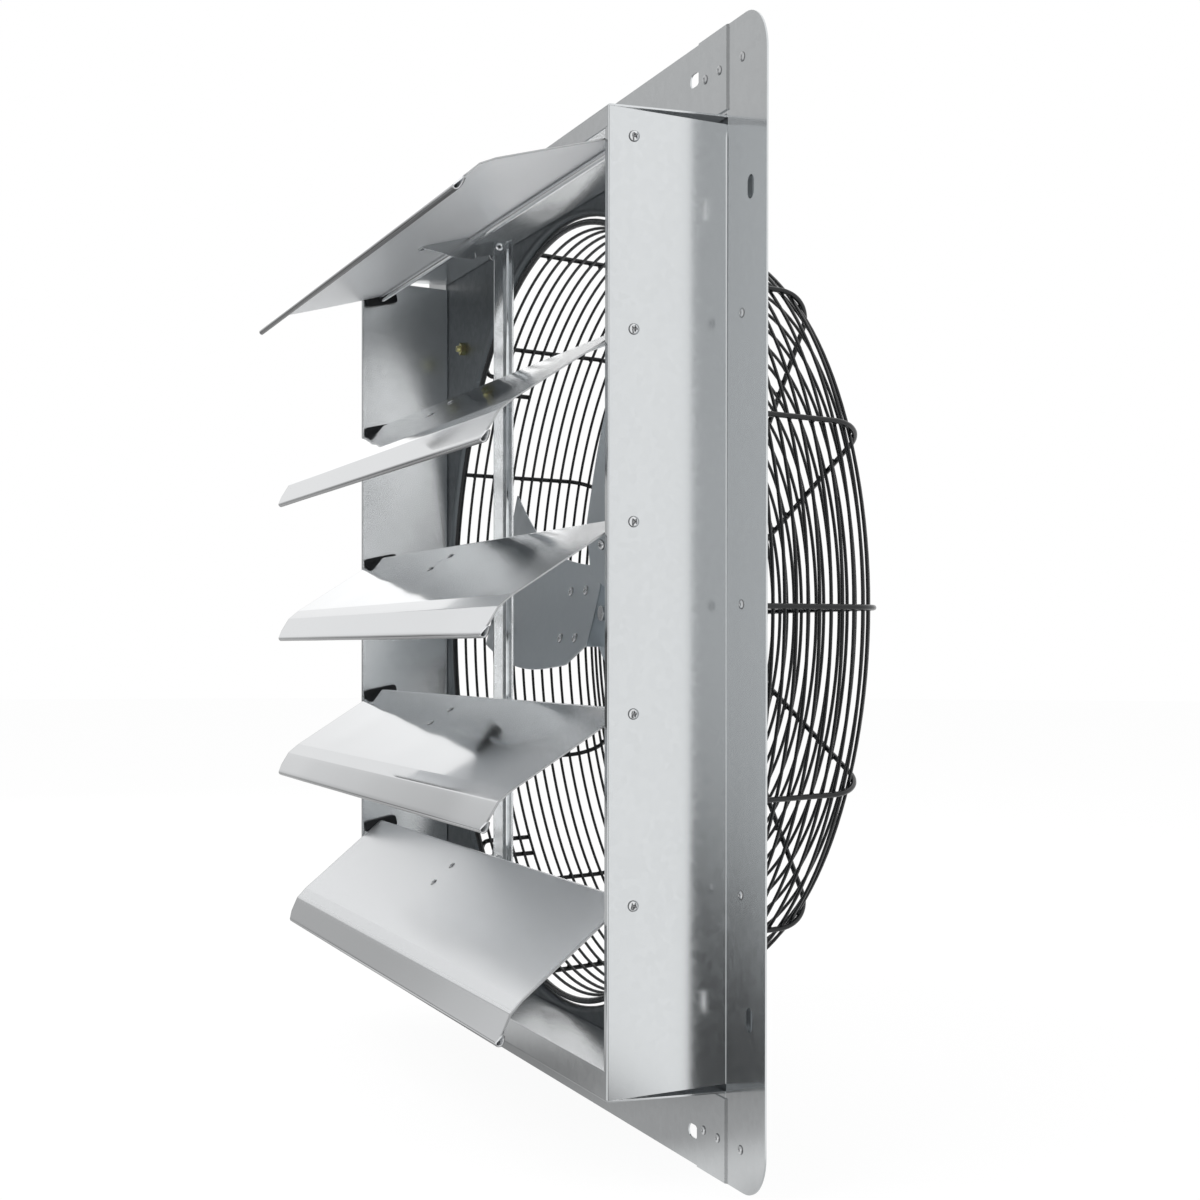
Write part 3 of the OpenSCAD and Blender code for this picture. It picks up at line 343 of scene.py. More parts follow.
def yellow_zinc(r, tone):
    """Yellow chromate: gold that turns green and pink in soft patches."""
    patch = r.noise(160.0, 3)
    red, green, blue = tone
    warm = r.mix(r.noise(70.0, 2), tinted(tone), tinted((red, green * 0.78, blue * 1.3)))
    return {
        "Base Color": r.mix(patch, warm, tinted((red * 0.7, green * 1.05, blue * 1.1))),
        "Metallic": 1.0,
        "Roughness": vary(0.24, (patch, 0.2)),
        "Normal": r.bump(patch, 0.00003, 0.3),
    }


def black_coat(r, tone, roughness, peel):
    """Powder coat: a black skin with the fine dimples of an orange's peel."""
    dimple = r.noise(700.0, 2, 0.5)
    cloud = r.noise(24.0, 3)
    return {
        "Base Color": r.shades(cloud, tone, 0.8, 1.6),
        "Roughness": vary(roughness, (cloud, 0.12), (dimple, 0.06)),
        "Specular IOR Level": 0.38,
        "Normal": r.bump(dimple, peel, 0.5),
    }


def moulded_nylon(r, tone):
    """Black nylon, with a fine grain and the paler flow of the moulding."""
    grain = r.noise(1500.0, 2, 0.6)
    return {
        "Base Color": r.shades(r.noise(90.0, 2), tone, 1.2, 2.2),
        "Roughness": vary(0.5, (grain, 0.25)),
        "Specular IOR Level": 0.35,
        "Normal": r.bump(grain, 0.00004, 0.5),
    }


def stacked_sheets(r, tone):
    """Thin lines round the motor's core, one for each sheet, with darker rust."""
    lines = r.node("ShaderNodeTexWave", {
        "Vector": r.place(), "Scale": 600.0, "Distortion": 0.0}, bands_direction="Y")
    rust = r.noise(120.0, 4)
    return {
        "Base Color": r.mix(lines * 0.6 + rust * 0.4, (0.05, 0.05, 0.055, 1), tinted(tone)),
        "Metallic": 1.0,
        "Roughness": vary(0.4, (rust, 0.3)),
        "Normal": r.bump(lines, 0.00008, 0.6),
    }


def enamelled_wire(r, tone):
    """Wire laid side by side round the motor."""
    varnish = r.noise(90.0, 3)
    return {
        "Base Color": r.shades(varnish, tone, 0.6, 1.3),
        "Metallic": 0.6,
        "Roughness": vary(0.3, (varnish, 0.2)),
        "Normal": r.bump(r.noise(900.0, 2, 0.5, (1, 0.15, 1)), 0.0002, 0.7),
    }


# Each finish's recipe, tone and further settings
FINISHES = {
    "galvanised_sheet": (galvanised, "zinc"),
    "galvanised_link": (mottled_zinc, "zinc"),
    "bracket_sheet": (sheet_metal, "zinc", 0.22, 0.06, 0.12),
    "louver_sheet": (louver_metal, "louver"),
    "dark_zinc_sheet": (sheet_metal, "dull", 0.4, 0.12, 0.25),
    "blade_sheet": (sheet_metal, "blade", 0.34, 0.05, 0.12, (0.08, 1, 1), 0.75),
    "spider_steel": (sheet_metal, "spider", 0.34, 0.08, 0.2, (1, 1, 1), 0.65),
    "rivet_metal": (bright_steel, "steel", 0.2),
    "plain_steel": (bright_steel, "steel", 0.16),
    "yellow_zinc": (yellow_zinc, "yellow"),
    "black_wire": (black_coat, "black", 0.24, 0.00006),
    "black_motor": (black_coat, "black", 0.36, 0.0001),
    "black_nylon": (moulded_nylon, "black"),
    "core_steel": (stacked_sheets, "core"),
    "winding_wire": (enamelled_wire, "copper"),
}
MADE = {}


def finish(name):
    """The finish of that name, made the first time that it is asked for."""
    if name not in MADE:
        recipe, tone, *settings = FINISHES[name]
        r = Recipe(bpy.data.materials.new(f"{name}_finish"))
        look = recipe(r, getattr(sizes("fan_colours"), tone), *settings)
        r.node("ShaderNodeOutputMaterial", {0: r.node("ShaderNodeBsdfPrincipled", look)})
        MADE[name] = r.owner
    return MADE[name]


# Meshes and pieces

def grid_faces(rows, cols, wrap_rows=False, wrap_cols=False):
    """Faces of a grid, which joins up where it wraps: each takes a point and its next ones."""
    i, j = np.meshgrid(np.arange(rows if wrap_rows else rows - 1),
                       np.arange(cols if wrap_cols else cols - 1), indexing="ij")
    down, right = (i + 1) % rows, (j + 1) % cols
    return np.stack([i * cols + j, i * cols + right, down * cols + right, down * cols + j],
                    -1).reshape(-1, 4)


def outward_mesh(name, points, faces):
    """A mesh whose faces all look outward."""
    mesh = bpy.data.meshes.new(name)
    mesh.from_pydata(points.reshape(-1, 3).tolist(), [], faces)
    mesh.update()
    shell = bmesh.new()
    shell.from_mesh(mesh)
    bmesh.ops.recalc_face_normals(shell, faces=shell.faces)
    shell.to_mesh(mesh)
    shell.free()
    return mesh


def mark_points(mesh, name, values):
    mesh.attributes.new(name, "FLOAT", "POINT").data.foreach_set(
        "value", values.astype(np.float32))


def place(mesh, name, body, slot, nodes, look=None, smooth=180):
    """Makes a mesh a piece: it rides on its body, has its finish and stands for its nodes."""
    mesh.polygons.foreach_set("use_smooth", np.ones(len(mesh.polygons), bool))
    if smooth < 180:
        mesh.set_sharp_from_angle(angle=math.radians(smooth))
    mesh.materials.clear()
    mesh.materials.append(finish(look or slot))
    piece = bpy.data.objects.new(name, mesh)
    bpy.context.scene.collection.objects.link(piece)
    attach(piece, body)
    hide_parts(*nodes)
    return piece


class Shape:
    """Surfaces gathered into one mesh, in metres, in the frame's own axes."""

    def __init__(self):
        self.points, self.faces, self.count = [], [], 0
        # per-point marks: painted shade with dark bare cut ends, and painted light with a rougher
        # finish
        self.marks = {"worn": [], "matt": []}

    def add(self, points, faces, **marks):
        points = np.asarray(points, float).reshape(-1, 3)
        self.points.append(points)
        for name, values in self.marks.items():
            values.append(np.ravel(marks.get(name, np.zeros(len(points)))))
        self.faces.extend((np.asarray(f) + self.count).tolist() for f in faces)
        self.count += len(points)

    def tube(self, rings, joined=False, **marks):
        """Rings of points: the last joins up with the first, or both are closed."""
        rows, cols = rings.shape[:2]
        faces = list(grid_faces(rows, cols, joined, True))
        if not joined:
            faces += [np.arange(cols)[::-1], np.arange(cols) + (rows - 1) * cols]
        self.add(rings, faces, **marks)

    def put(self, name, body, slot, *nodes, smooth=40):
        """Makes the mesh a piece, with its marks on its points."""
        mesh = outward_mesh(name, np.concatenate(self.points), self.faces)
        for mark, values in self.marks.items():
            values = np.concatenate(values)
            if values.any():
                mark_points(mesh, mark, values)
        return place(mesh, name, body, slot, nodes, smooth=smooth)


def rounded_copy(node, name, body, slot, edge, look=None, folds=None, fold=0.0, inner=None):
    """The node's own shape, with its loose triangles merged, its bends rounded by fold where
    folds(middle of an edge) is true, and its other sharp edges by edge. The points where
    inner(points) is true are marked as the inner side."""
    shell = bmesh.new()
    shell.from_mesh(frame["nodes"][node].data)
    bmesh.ops.remove_doubles(shell, verts=shell.verts, dist=MERGE)
    bmesh.ops.dissolve_limit(shell, angle_limit=math.radians(0.5), verts=shell.verts,
                             edges=shell.edges, use_dissolve_boundaries=False)

    def bend_edge(e):
        return folds((e.verts[0].co + e.verts[1].co) / 2) and e.calc_length() > 0.02

    def bevel(test, width, segments):
        edges = [e for e in shell.edges if len(e.link_faces) == 2
                 and e.calc_face_angle(0) > math.radians(35) and test(e)]
        if edges:
            bmesh.ops.bevel(shell, geom=edges, offset=width, offset_type="OFFSET",
                            segments=segments, profile=0.5, affect="EDGES", clamp_overlap=True)
    if folds:
        bevel(bend_edge, fold, 4)
    bevel(lambda e: True, edge, 2)
    mesh = bpy.data.meshes.new(name)
    shell.to_mesh(mesh)
    shell.free()
    if inner:
        points = np.empty(3 * len(mesh.vertices))
        mesh.vertices.foreach_get("co", points)
        mark_points(mesh, "inner", inner(points.reshape(-1, 3)))
    piece = place(mesh, name, body, slot, [node], look)
    weigh = piece.modifiers.new("Faces", "WEIGHTED_NORMAL")
    weigh.keep_sharp = True
    weigh.weight = 50


# Shapes

def smooth_step(x, low, high):
    t = np.clip((x - low) / (high - low), 0, 1)
    return t * t * (3 - 2 * t)


def unit(v):
    return v / np.linalg.norm(v)


def turns(count):
    """Angles of points evenly spaced round a circle."""
    return np.arange(count) * TURN / count


def about(origin, axis, r, h, up=None):
    """Rows of points evenly spaced round an axis: r is each one's radius, and h its height
    along the axis."""
    along = unit(np.asarray(axis, float))
    helper = np.asarray(up or (AXIS_Z if abs(along[2]) < 0.9 else AXIS_X), float)
    one = unit(np.cross(helper, along))
    turn = turns(r.shape[1])[:, None]
    spread = np.cos(turn) * one + np.sin(turn) * np.cross(along, one)
    return np.asarray(origin, float) + r[..., None] * spread + h[..., None] * along


def turned(profile, origin, axis, sides=32):
    """A solid of revolution: each point of the profile is a radius and a height along the axis."""
    r, h = np.repeat(np.asarray(profile, float).T[..., None], sides, 2)
    return about(origin, axis, r, h)


def head_grid(radius, height, origin, axis, rings=14, sides=32, up=None):
    """A head seen from above: its height over the plane is height(radius, turn)."""
    r = np.repeat(radius * np.linspace(1, 0.02, rings)[:, None], sides, 1)
    return about(origin, axis, r, height(r, turns(sides)), up)


def curve(start, corner, end, count):
    """An arc-like curve from start to end, drawn towards the corner."""
    t = np.linspace(0, 1, count)[:, None]
    return (1 - t) ** 2 * start + 2 * t * (1 - t) * corner + t ** 2 * end


def rounded(profile, radius, steps=3, closed=True):
    """The profile with each corner replaced by a curve that starts radius away."""
    p = np.asarray(profile, float)
    out = []
    last = len(p) - 1
    for k, here in enumerate(p):
        if not closed and k in (0, last):
            out.append(here[None])
            continue
        a, b = p[k - 1] - here, p[(k + 1) % len(p)] - here
        la, lb = np.linalg.norm(a), np.linalg.norm(b)
        cut = min(radius, 0.45 * la, 0.45 * lb)
        out.append(curve(here + a / la * cut, here, here + b / lb * cut, steps + 1))
    return np.concatenate(out)


def bend_line(before, corner, after, radius):
    """Seven points round a bend, from one straight to the next."""
    a, b = unit(before - corner), unit(after - corner)
    turn = math.pi - math.acos(np.clip(a @ b, -1, 1))
    reach = radius * math.tan(turn / 2)
    return curve(corner + a * reach, corner, corner + b * reach, 7)


def dome(r, h, steps=5):
    """Profile of a domed head from its rim to its top: a part of a circle over the radius."""
    ball = (r * r + h * h) / (2 * h)
    a = np.linspace(math.asin(min(1, r / ball)), 0.02, steps)
    return np.stack([ball * np.sin(a), h - ball + ball * np.cos(a)], 1)


def cross_recess(radius, height, span, slot, depth):
    """Height of a pan head with a cross recess: a flattened dome less a cross, deepest inside."""
    def at(r, turn):
        body = height * np.sqrt(np.clip(1 - (r / radius) ** 2.6, 0, 1))
        x, z = np.abs(r * np.cos(turn)), np.abs(r * np.sin(turn))
        arm = np.maximum(
            smooth_step(-z, -slot, -0.5 * slot) * smooth_step(-x, -span, -0.75 * span),
            smooth_step(-x, -slot, -0.5 * slot) * smooth_step(-z, -span, -0.75 * span))
        return body - depth * arm
    return at


def rivet_head(radius, height, hole):
    """Height of a pull rivet's head: a dome with a round dimple where the stem broke off."""
    def at(r, turn):
        body = height * np.sqrt(np.clip(1 - (r / radius) ** 2, 0, 1))
        return body - 0.45 * height * smooth_step(-r, -hole, -0.7 * hole)
    return at


def add_head(shape, head):
    """Adds a head darkened by painted shade at its rim and in its middle recess."""
    rings, sides = head.shape[:2]
    r = np.linspace(1, 0, rings)[:, None] + np.zeros(sides)
    # painted shade: the outer rim and the middle recess are marked dark
    shape.tube(head, worn=np.maximum(0.9 * smooth_step(r, 0.86, 0.97),
                                     0.7 * smooth_step(-r, -0.42, -0.26)))


RIVETS = {                                   # radius and height of head, shank, and tail
    "pull": (0.00315, 0.0013, 0.0016, 0.00256, 0.00096),
    "louver": (0.003, 0.0012, 0.0016, 0.0024, 0.0012),
    "blade": (0.0043, 0.002, 0.0025, 0.00344, 0.002),
}


def add_rivet(shape, kind, origin, axis, reach):
    """Head on the plane at the origin, with a shank that reaches back to its tail."""
    radius, height, shank_r, tail_r, tail_h = RIVETS[kind]
    axis = np.asarray(axis, float)
    add_head(shape, head_grid(radius, rivet_head(radius, height, 0.42 * radius), origin, axis))
    shape.tube(turned([(shank_r, -reach), (shank_r, height * 0.2)], origin, axis, 20))
    tail = np.concatenate([[(tail_r, 0.0)], dome(tail_r, tail_h)])
    shape.tube(turned(tail, np.asarray(origin) - axis * reach, -axis, 20))


def add_hexagon(shape, across, height, origin, axis, bore=0.0, sides=48):
    """A hexagon head or nut. Its edge is across / 2 over the cosine of the turn within one flat,
    and the top slopes down by a third outside its chamfer circle."""
    turn = turns(sides)
    flat = across / 2 / np.cos((turn + TURN / 12) % (TURN / 6) - TURN / 12)
    rim, inner = (np.full(sides, r) for r in (across / 2 * 0.97, max(bore, 0.03 * across)))
    low, high = np.zeros(sides), np.full(sides, height)
    drop = (flat - rim) * 0.45
    r = np.stack([inner, rim, flat, flat, rim, inner])
    h = np.stack([low, low, drop, height - drop, high, high])
    shape.tube(about(origin, axis, r, h), bore > 0)


def thread(radius, depth, pitch, low, high, origin, axis, sides=24):
    """A threaded bar: its radius falls by depth in a V that climbs one pitch each turn."""
    rows = max(4, int((high - low) / pitch * 6))
    h = np.repeat(np.linspace(low, high, rows)[:, None], sides, 1)
    phase = (h / pitch - np.arange(sides) / sides) % 1
    return about(origin, axis, radius - depth * np.abs(2 * phase - 1), h)


def wire(path, radius, round_ends=False, sides=12):
    """A wire along a path: each circle's side vector is the last one, made square to the path.
    Rounded ends shrink the last circles as a half ball does."""
    t = np.gradient(path, axis=0)
    t /= np.linalg.norm(t, axis=1)[:, None]
    size = np.full(len(path), radius)
    if round_ends:
        steps = np.array([0.25, 0.7, 0.95])
        lift = np.sqrt(1 - steps ** 2) * radius
        path = np.concatenate([path[0] - t[0] * lift[:, None], path,
                               path[-1] + t[-1] * lift[::-1, None]])
        t = np.concatenate([np.repeat(t[:1], 3, 0), t, np.repeat(t[-1:], 3, 0)])
        size = np.concatenate([steps * radius, size, steps[::-1] * radius])
    side = np.asarray(AXIS_Z, float)
    turn = turns(sides)[:, None]
    rings = []
    for point, way, r in zip(path, t, size):
        side = unit(side - (side @ way) * way)
        rings.append(point + r * (np.cos(turn) * side + np.sin(turn) * np.cross(way, side)))
    return np.stack(rings)


def ring(radius, depth, wire_r, count=144, sides=10):
    """A wire ring about the fan's axis: a circle of the wire's radius carried round it."""
    around, turn = turns(count)[:, None], turns(sides)
    r = radius + wire_r * np.cos(turn)
    y = depth + wire_r * np.sin(turn) + 0 * around
    return np.stack([r * np.cos(around), y, r * np.sin(around)], -1)


def rotated(points, turn, first, second):
    """Points turned by an angle in one plane, from its first axis towards its second."""
    p = np.array(points, float)
    a, b = p[..., first].copy(), p[..., second].copy()
    p[..., first] = a * math.cos(turn) - b * math.sin(turn)
    p[..., second] = a * math.sin(turn) + b * math.cos(turn)
    return p


def spin_y(points, turn):
    """Points turned about the fan's axis, from +X towards +Z."""
    return rotated(points, turn, 0, 2)


def turn_x(points, turn):
    """Points turned about X, from +Y towards +Z."""
    return rotated(points, turn, 1, 2)


# Places that several pieces share

LOUVERS = (1, 2, 3, 4, 5)
REST = {1: 18.0, 2: 36.3, 3: 36.3, 4: 36.3, 5: 44.0}
BLADE_TURNS = (180, 60, 300)
BLADE_MIDDLE = 0.07      # how far a blade's middle line lies below the axis, over its tip's radius
PLATE_REAR = 0.0024      # back of the plate with the fan opening


def hinge(k):
    """Hinge line of a louver, from the frame's own joint."""
    joint = next(j for j in frame["joints"] if j["name"] == f"louver_{k}_swing")
    return Vector(joint["pos_m"])


def louver_turn(k, s):
    """Turn of a louver's flat at rest: its slope from hinge to tip less the tip's angle."""
    drop = s.fold * math.sin(s.fold_angle) + s.lip * math.sin(s.lip_angle) - (s.curl - s.sheet) / 2
    return math.radians(REST[k]) - math.atan2(drop, s.pitch)


# Stage

CAMERA_AT = (1.4642, -0.5303, -0.0275)
CAMERA_TURNS = (-69.87, -0.427, 0.067)       # yaw, pitch and roll in degrees
CAMERA_LENS, CAMERA_SENSOR = 59.31, 36.0
CAMERA_SHIFT = (0.0271, 0.0522)
FLOOR_RADII = (0.02, 0.6, 1.5, 4.0, 12.0)
FLOOR_SIDES = 96
LAMPS = (                                    # name, place, width and power
    ("key_lamp", (0.6, -2.2, 2.0), 2.4, 34.0),
    ("guard_lamp", (2.2, 1.6, 1.4), 2.0, 18.0),
    ("far_lamp", (-2.4, -0.6, 1.2), 2.0, 14.0),
)


class Piece:
    """What the operators share."""
    bl_options = {"REGISTER"}


class EXHAUST_OT_stage(Piece, bpy.types.Operator):
    """Adds the pale floor, the soft lamps, the white surroundings and the camera"""
    bl_idname = "exhaust.stage"
    bl_label = "Stage"

    def execute(self, context):
        for add in (add_camera, add_floor, add_world, add_lamps):
            add(context.scene)
        return {"FINISHED"}


def add_camera(scene):
    data = bpy.data.cameras.new("camera")
    data.lens, data.sensor_width = CAMERA_LENS, CAMERA_SENSOR
    data.shift_x, data.shift_y = CAMERA_SHIFT
    data.clip_end = 60.0
    camera = bpy.data.objects.new("camera", data)
    scene.collection.objects.link(camera)
    yaw, pitch, roll = (math.radians(a) for a in CAMERA_TURNS)
    camera.matrix_world = (
        Matrix.Translation(CAMERA_AT) @ Matrix.Rotation(-yaw, 4, "Z")
        @ Matrix.Rotation(math.pi / 2 + pitch, 4, "X") @ Matrix.Rotation(roll, 4, "Z"))
    scene.camera = camera
    scene.view_settings.view_transform = "Standard"


def add_floor(scene):
    """A wide round floor under the flange. Metal mirrors the studio in its place."""
    low = CAD_BOX[0][2] - 0.0005
    around = turns(FLOOR_SIDES)
    radii = np.array(FLOOR_RADII)[:, None]
    points = np.stack([radii * np.cos(around), radii * np.sin(around),
                       np.full((len(radii), FLOOR_SIDES), low)], -1)
    faces = grid_faces(len(radii), FLOOR_SIDES, wrap_cols=True).tolist()
    mesh = outward_mesh("floor", points, faces + [list(range(FLOOR_SIDES))[::-1]])
    if mesh.polygons[0].normal.z < 0:
        mesh.flip_normals()
    floor = bpy.data.objects.new("floor", mesh)
    scene.collection.objects.link(floor)
    r = Recipe(bpy.data.materials.new("pale_floor"))
    camera_ray, seen = seen_directly(r)
    diffuse = r.node("ShaderNodeBsdfDiffuse", {
        "Color": r.mix(r.noise(3.0, 3), (0.86, 0.86, 0.86, 1), (0.92, 0.92, 0.92, 1))})
    way = r.node("ShaderNodeVectorMath", {0: r.node("ShaderNodeTexCoord", output="Object")},
                 operation="NORMALIZE")
    glow = r.node("ShaderNodeEmission", {
        "Color": (1, 1, 1, 1), "Strength": camera_ray * 1.06 + (1 - camera_ray) * studio(r, way)})
    share = camera_ray * 0.88 + (1 - camera_ray) * seen
    shader = r.node("ShaderNodeMixShader", {0: share, 1: diffuse, 2: glow})
    r.node("ShaderNodeOutputMaterial", {"Surface": shader})
    mesh.materials.append(r.owner)


def seen_directly(r):
    """1 for rays from the camera, and 1 for rays from the camera, a mirror or a clear body."""
    rays = [r.node("ShaderNodeLightPath", output=name)
            for name in ("Is Camera Ray", "Is Glossy Ray", "Is Transmission Ray")]
    return rays[0], (rays[0] + rays[1] + rays[2]).clamped()


def soft_step(r, value, low, high):
    """0 below low and 1 above high, or the other way round where low is the larger."""
    return r.node("ShaderNodeMapRange", {
        "Value": value, "From Min": min(low, high), "From Max": max(low, high),
        "To Min": float(low > high), "To Max": float(low < high)}, interpolation_type="SMOOTHSTEP")


def studio(r, way):
    """What metal mirrors in each direction: white screens behind and at the right, which fade
    towards the front, a grey screen in front on the left that is paler at its far end, a low dark
    one at the far side, dark floor far in front and under the fan, and the dark side of the
    studio where the camera stands."""
    east, north, up = (r.node("ShaderNodeSeparateXYZ", {0: way}, axis) for axis in "XYZ")

    def step(value, low, high):
        return soft_step(r, value, low, high)
    tall = step(up, 0.22, 0.32)
    behind = step(north + 0.13 * tall, -0.24, -0.1)
    right = step(east, -0.2, 0.4)
    front = 0.45 + 0.21 * step(north, -0.28, -0.36)
    left = front + (0.86 - front) * behind + 0.34 * step(north, 0.0, 0.19)
    white = left + (1.2 - left) * right
    far = (step(north, -0.05, 0.15) * step(north, 0.36, 0.31) * step(up, 0.14, 0.03)
           * step(up, -0.12, -0.07) * step(east, -0.5, -0.8))
    low_front = (step(north, -0.22, -0.3) * step(up, 0.06, 0.0) * step(up, -0.15, -0.09)
                 * step(east, -0.5, -0.7))
    under = step(up, -0.75, -0.9)
    camera_side = step(east, 0.5, 0.85) * step(north, 0.12, -0.05) * step(north, -0.385, -0.335)
    return (white * (1 - 0.65 * far) * (1 - 0.85 * low_front) * (1 - 0.6 * under)
            * (1 - 0.88 * camera_side))


def add_world(scene):
    """White where it is seen, the studio's screens where metal mirrors it, and an even soft grey
    light elsewhere."""
    scene.world = bpy.data.worlds.new("surroundings")
    r = Recipe(scene.world)
    camera_ray, seen = seen_directly(r)
    way = r.node("ShaderNodeTexCoord", output="Generated")
    mirrored = camera_ray + (1 - camera_ray) * studio(r, way)
    sky = r.node("ShaderNodeBackground", {
        "Color": (1, 1, 1, 1), "Strength": seen * mirrored + (1 - seen) * 0.5})
    r.node("ShaderNodeOutputWorld", {"Surface": sky})


def add_lamps(scene):
    """Three large soft lamps: over the front, from the guard's side and from the far side."""
    for name, where, width, power in LAMPS:
        data = bpy.data.lights.new(name, "AREA")
        data.shape = "SQUARE"
        data.size = width
        data.energy = power
        lamp = bpy.data.objects.new(name, data)
        lamp.visible_glossy = False
        lamp.location = where
        lamp.rotation_mode = "QUATERNION"
        lamp.rotation_quaternion = (-Vector(where)).to_track_quat("-Z", "Y")
        scene.collection.objects.link(lamp)


# Box

PANELS = {"side_panel_right": 0, "side_panel_left": 0, "top_panel": 2, "bottom_panel": 2}
RIVET_Z = 0.3435                             # rows of rivets at the flange's top and bottom
SCREW_HEAD = {"radius": 0.00365, "height": 0.0024, "span": 0.0021, "slot": 0.0006, "depth": 0.0013}


class EXHAUST_OT_box(Piece, bpy.types.Operator):
    """Adds the folded side, top and bottom panels and the plate with the fan opening"""
    bl_idname = "exhaust.box"
    bl_label = "Box and flange"

    def execute(self, context):
        s = sizes("fan_box")
        front, bend, skin = -s.depth, 4 * s.sheet, 0.6 * s.sheet
        for node, axis in PANELS.items():
            def folds(p):
                web = abs(abs(p[axis]) - s.half) < bend and (axis == 0 or abs(p.x) < s.half)
                return web and (abs(p.y - front) < bend or abs(p.y) < bend)

            def inside(p):
                between = np.abs(p[:, [0, 2]]).max(1) < s.half + skin
                return (np.abs(p[:, axis]) < s.half - skin) & (p[:, 1] > front + skin) & between
            rounded_copy(node, f"{node}_sheet", "frame", "galvanised_sheet", s.edge,
                         folds=folds, fold=s.fold, inner=inside)
        # the plate with the fan opening gets the zinc darkened by painted shade
        rounded_copy("venturi_plate", "venturi_sheet", "frame", "dark_zinc_sheet", s.edge)
        return {"FINISHED"}


class EXHAUST_OT_fasteners(Piece, bpy.types.Operator):
    """Adds the flange's pull rivets, the corner rivets, the hinge screws and the hinge bearings"""
    bl_idname = "exhaust.fasteners"
    bl_label = "Rivets and screws"

    def execute(self, context):
        s = sizes("fan_box")
        for name, front, columns, rows in (
                ("flange_rivet", 0, (-0.335, 0.335), (-RIVET_Z, -0.183, 0.0, 0.183, RIVET_Z)),
                ("tab_rivet", -s.sheet, (-0.30275, -0.28075, 0.28075, 0.30275),
                 (-RIVET_Z, RIVET_Z))):
            rivets = Shape()
            for x in columns:
                for z in rows:
                    add_rivet(rivets, "pull", (x, front, z), (0, -1, 0), 2 * s.sheet)
            rivets.put(f"{name}_heads", "frame", "rivet_metal", f"{name}s")
        for end, side in (("right", 1), ("left", -1)):
            screws, blocks = Shape(), Shape()
            for k in LOUVERS:
                at = hinge(k)
                where, out = (side * s.half, at.y, at.z), (side, 0, 0)
                tilt = math.radians(20 + 37 * k)
                add_head(screws, head_grid(SCREW_HEAD["radius"], cross_recess(**SCREW_HEAD), where,
                                           out, 20, 48, (0, math.sin(tilt), math.cos(tilt))))
                screws.tube(thread(0.002, 0.00022, 0.0008, -0.0170, 0.0008, where, out))
                blocks.tube(bearing_block(at, side), joined=True)
            screws.put(f"hinge_screws_{end}", "frame", "plain_steel", f"pivot_screws_{end}")
            blocks.put(f"hinge_bearings_{end}", "frame", "black_nylon", f"bearings_{end}")
        return {"FINISHED"}


def bearing_block(at, side):
    """A moulded bearing: a block with rounded corners, and a bore for the screw. Each ring of
    the grid goes from the bore to the block's outline, as a circle turning into a rectangle."""
    half_l, half_h, bore, inner, thick, soft, power = 0.015, 0.005, 0.0022, 0.3113, 0.005, 0.0006, 8
    turn = turns(64)
    circle = np.stack([np.cos(turn), np.sin(turn)], 1)

    def outline(shrink):
        reach = (np.abs(circle) / (half_l - shrink, half_h - shrink)) ** power
        return circle * (reach.sum(1) ** (-1 / power))[:, None]
    rows = [(bore * circle, 0), (outline(soft), 0), (outline(0.3 * soft), 0.3 * soft),
            (outline(0), soft), (outline(0), thick), (bore * circle, thick)]
    yz = rotated(np.stack([row[0] for row in rows]), math.radians(12), 0, 1)
    depth = np.array([row[1] for row in rows])[:, None] + 0 * turn
    return np.stack([side * (inner - thick + depth), at.y + yz[..., 0], at.z + yz[..., 1]], -1)


# Shutter

class EXHAUST_OT_louvers(Piece, bpy.types.Operator):
    """Adds the five bright louvers with their rolled hinge, bends, hem and cut corners"""
    bl_idname = "exhaust.louvers"
    bl_label = "Louvers"

    def execute(self, context):
        for k in LOUVERS:
            add_louver(k)
        return {"FINISHED"}


def louver_line(s):
    """Middle line of a louver's section, from the free end of the hem round its tip, along the
    lip, the fold and the flat, and round the hinge's roll. Returns the points, their upward
    normals and where the flat ends."""
    half_t = s.sheet / 2
    roll = s.curl / 2 - half_t
    fold, lip = (np.array([-math.cos(a), -math.sin(a)]) for a in (s.fold_angle, s.lip_angle))
    under = np.array([lip[1], -lip[0]])
    flat = s.pitch + s.fold * fold[0] + s.lip * lip[0]
    at_fold = np.array([-flat, roll])
    at_lip = at_fold + s.fold * fold
    tip = at_lip + (s.lip - s.hem_r) * lip
    t = np.linspace(1, 0, 8)[:, None]
    gap = 2 * s.hem_r + t ** 1.5 * (2.2 * half_t - 2 * s.hem_r)
    nose = np.radians(np.linspace(-90, 90, 13)[1:-1, None])
    curl = np.radians(np.linspace(90, -205, 30))[:, None]
    line = np.concatenate([
        tip - gap * under - t * (s.hem - s.hem_r) * lip,
        tip - s.hem_r * under + s.hem_r * (np.cos(nose) * lip + np.sin(nose) * under),
        tip + np.linspace(0, 0.8, 8)[:, None] * (at_lip - tip),
        bend_line(tip, at_lip, at_fold, s.bend),
        at_lip + np.linspace(0.3, 0.7, 4)[:, None] * (at_fold - at_lip),
        bend_line(at_lip, at_fold, np.array([0.0, roll]), s.bend),
        np.stack([np.linspace(-flat * 0.96, -0.0004, 40), np.full(40, roll)], 1),
        roll * np.concatenate([np.cos(curl), np.sin(curl)], 1)])
    step = np.gradient(line, axis=0)
    step /= np.linalg.norm(step, axis=1)[:, None]
    return line, np.stack([-step[:, 1], step[:, 0]], 1), flat


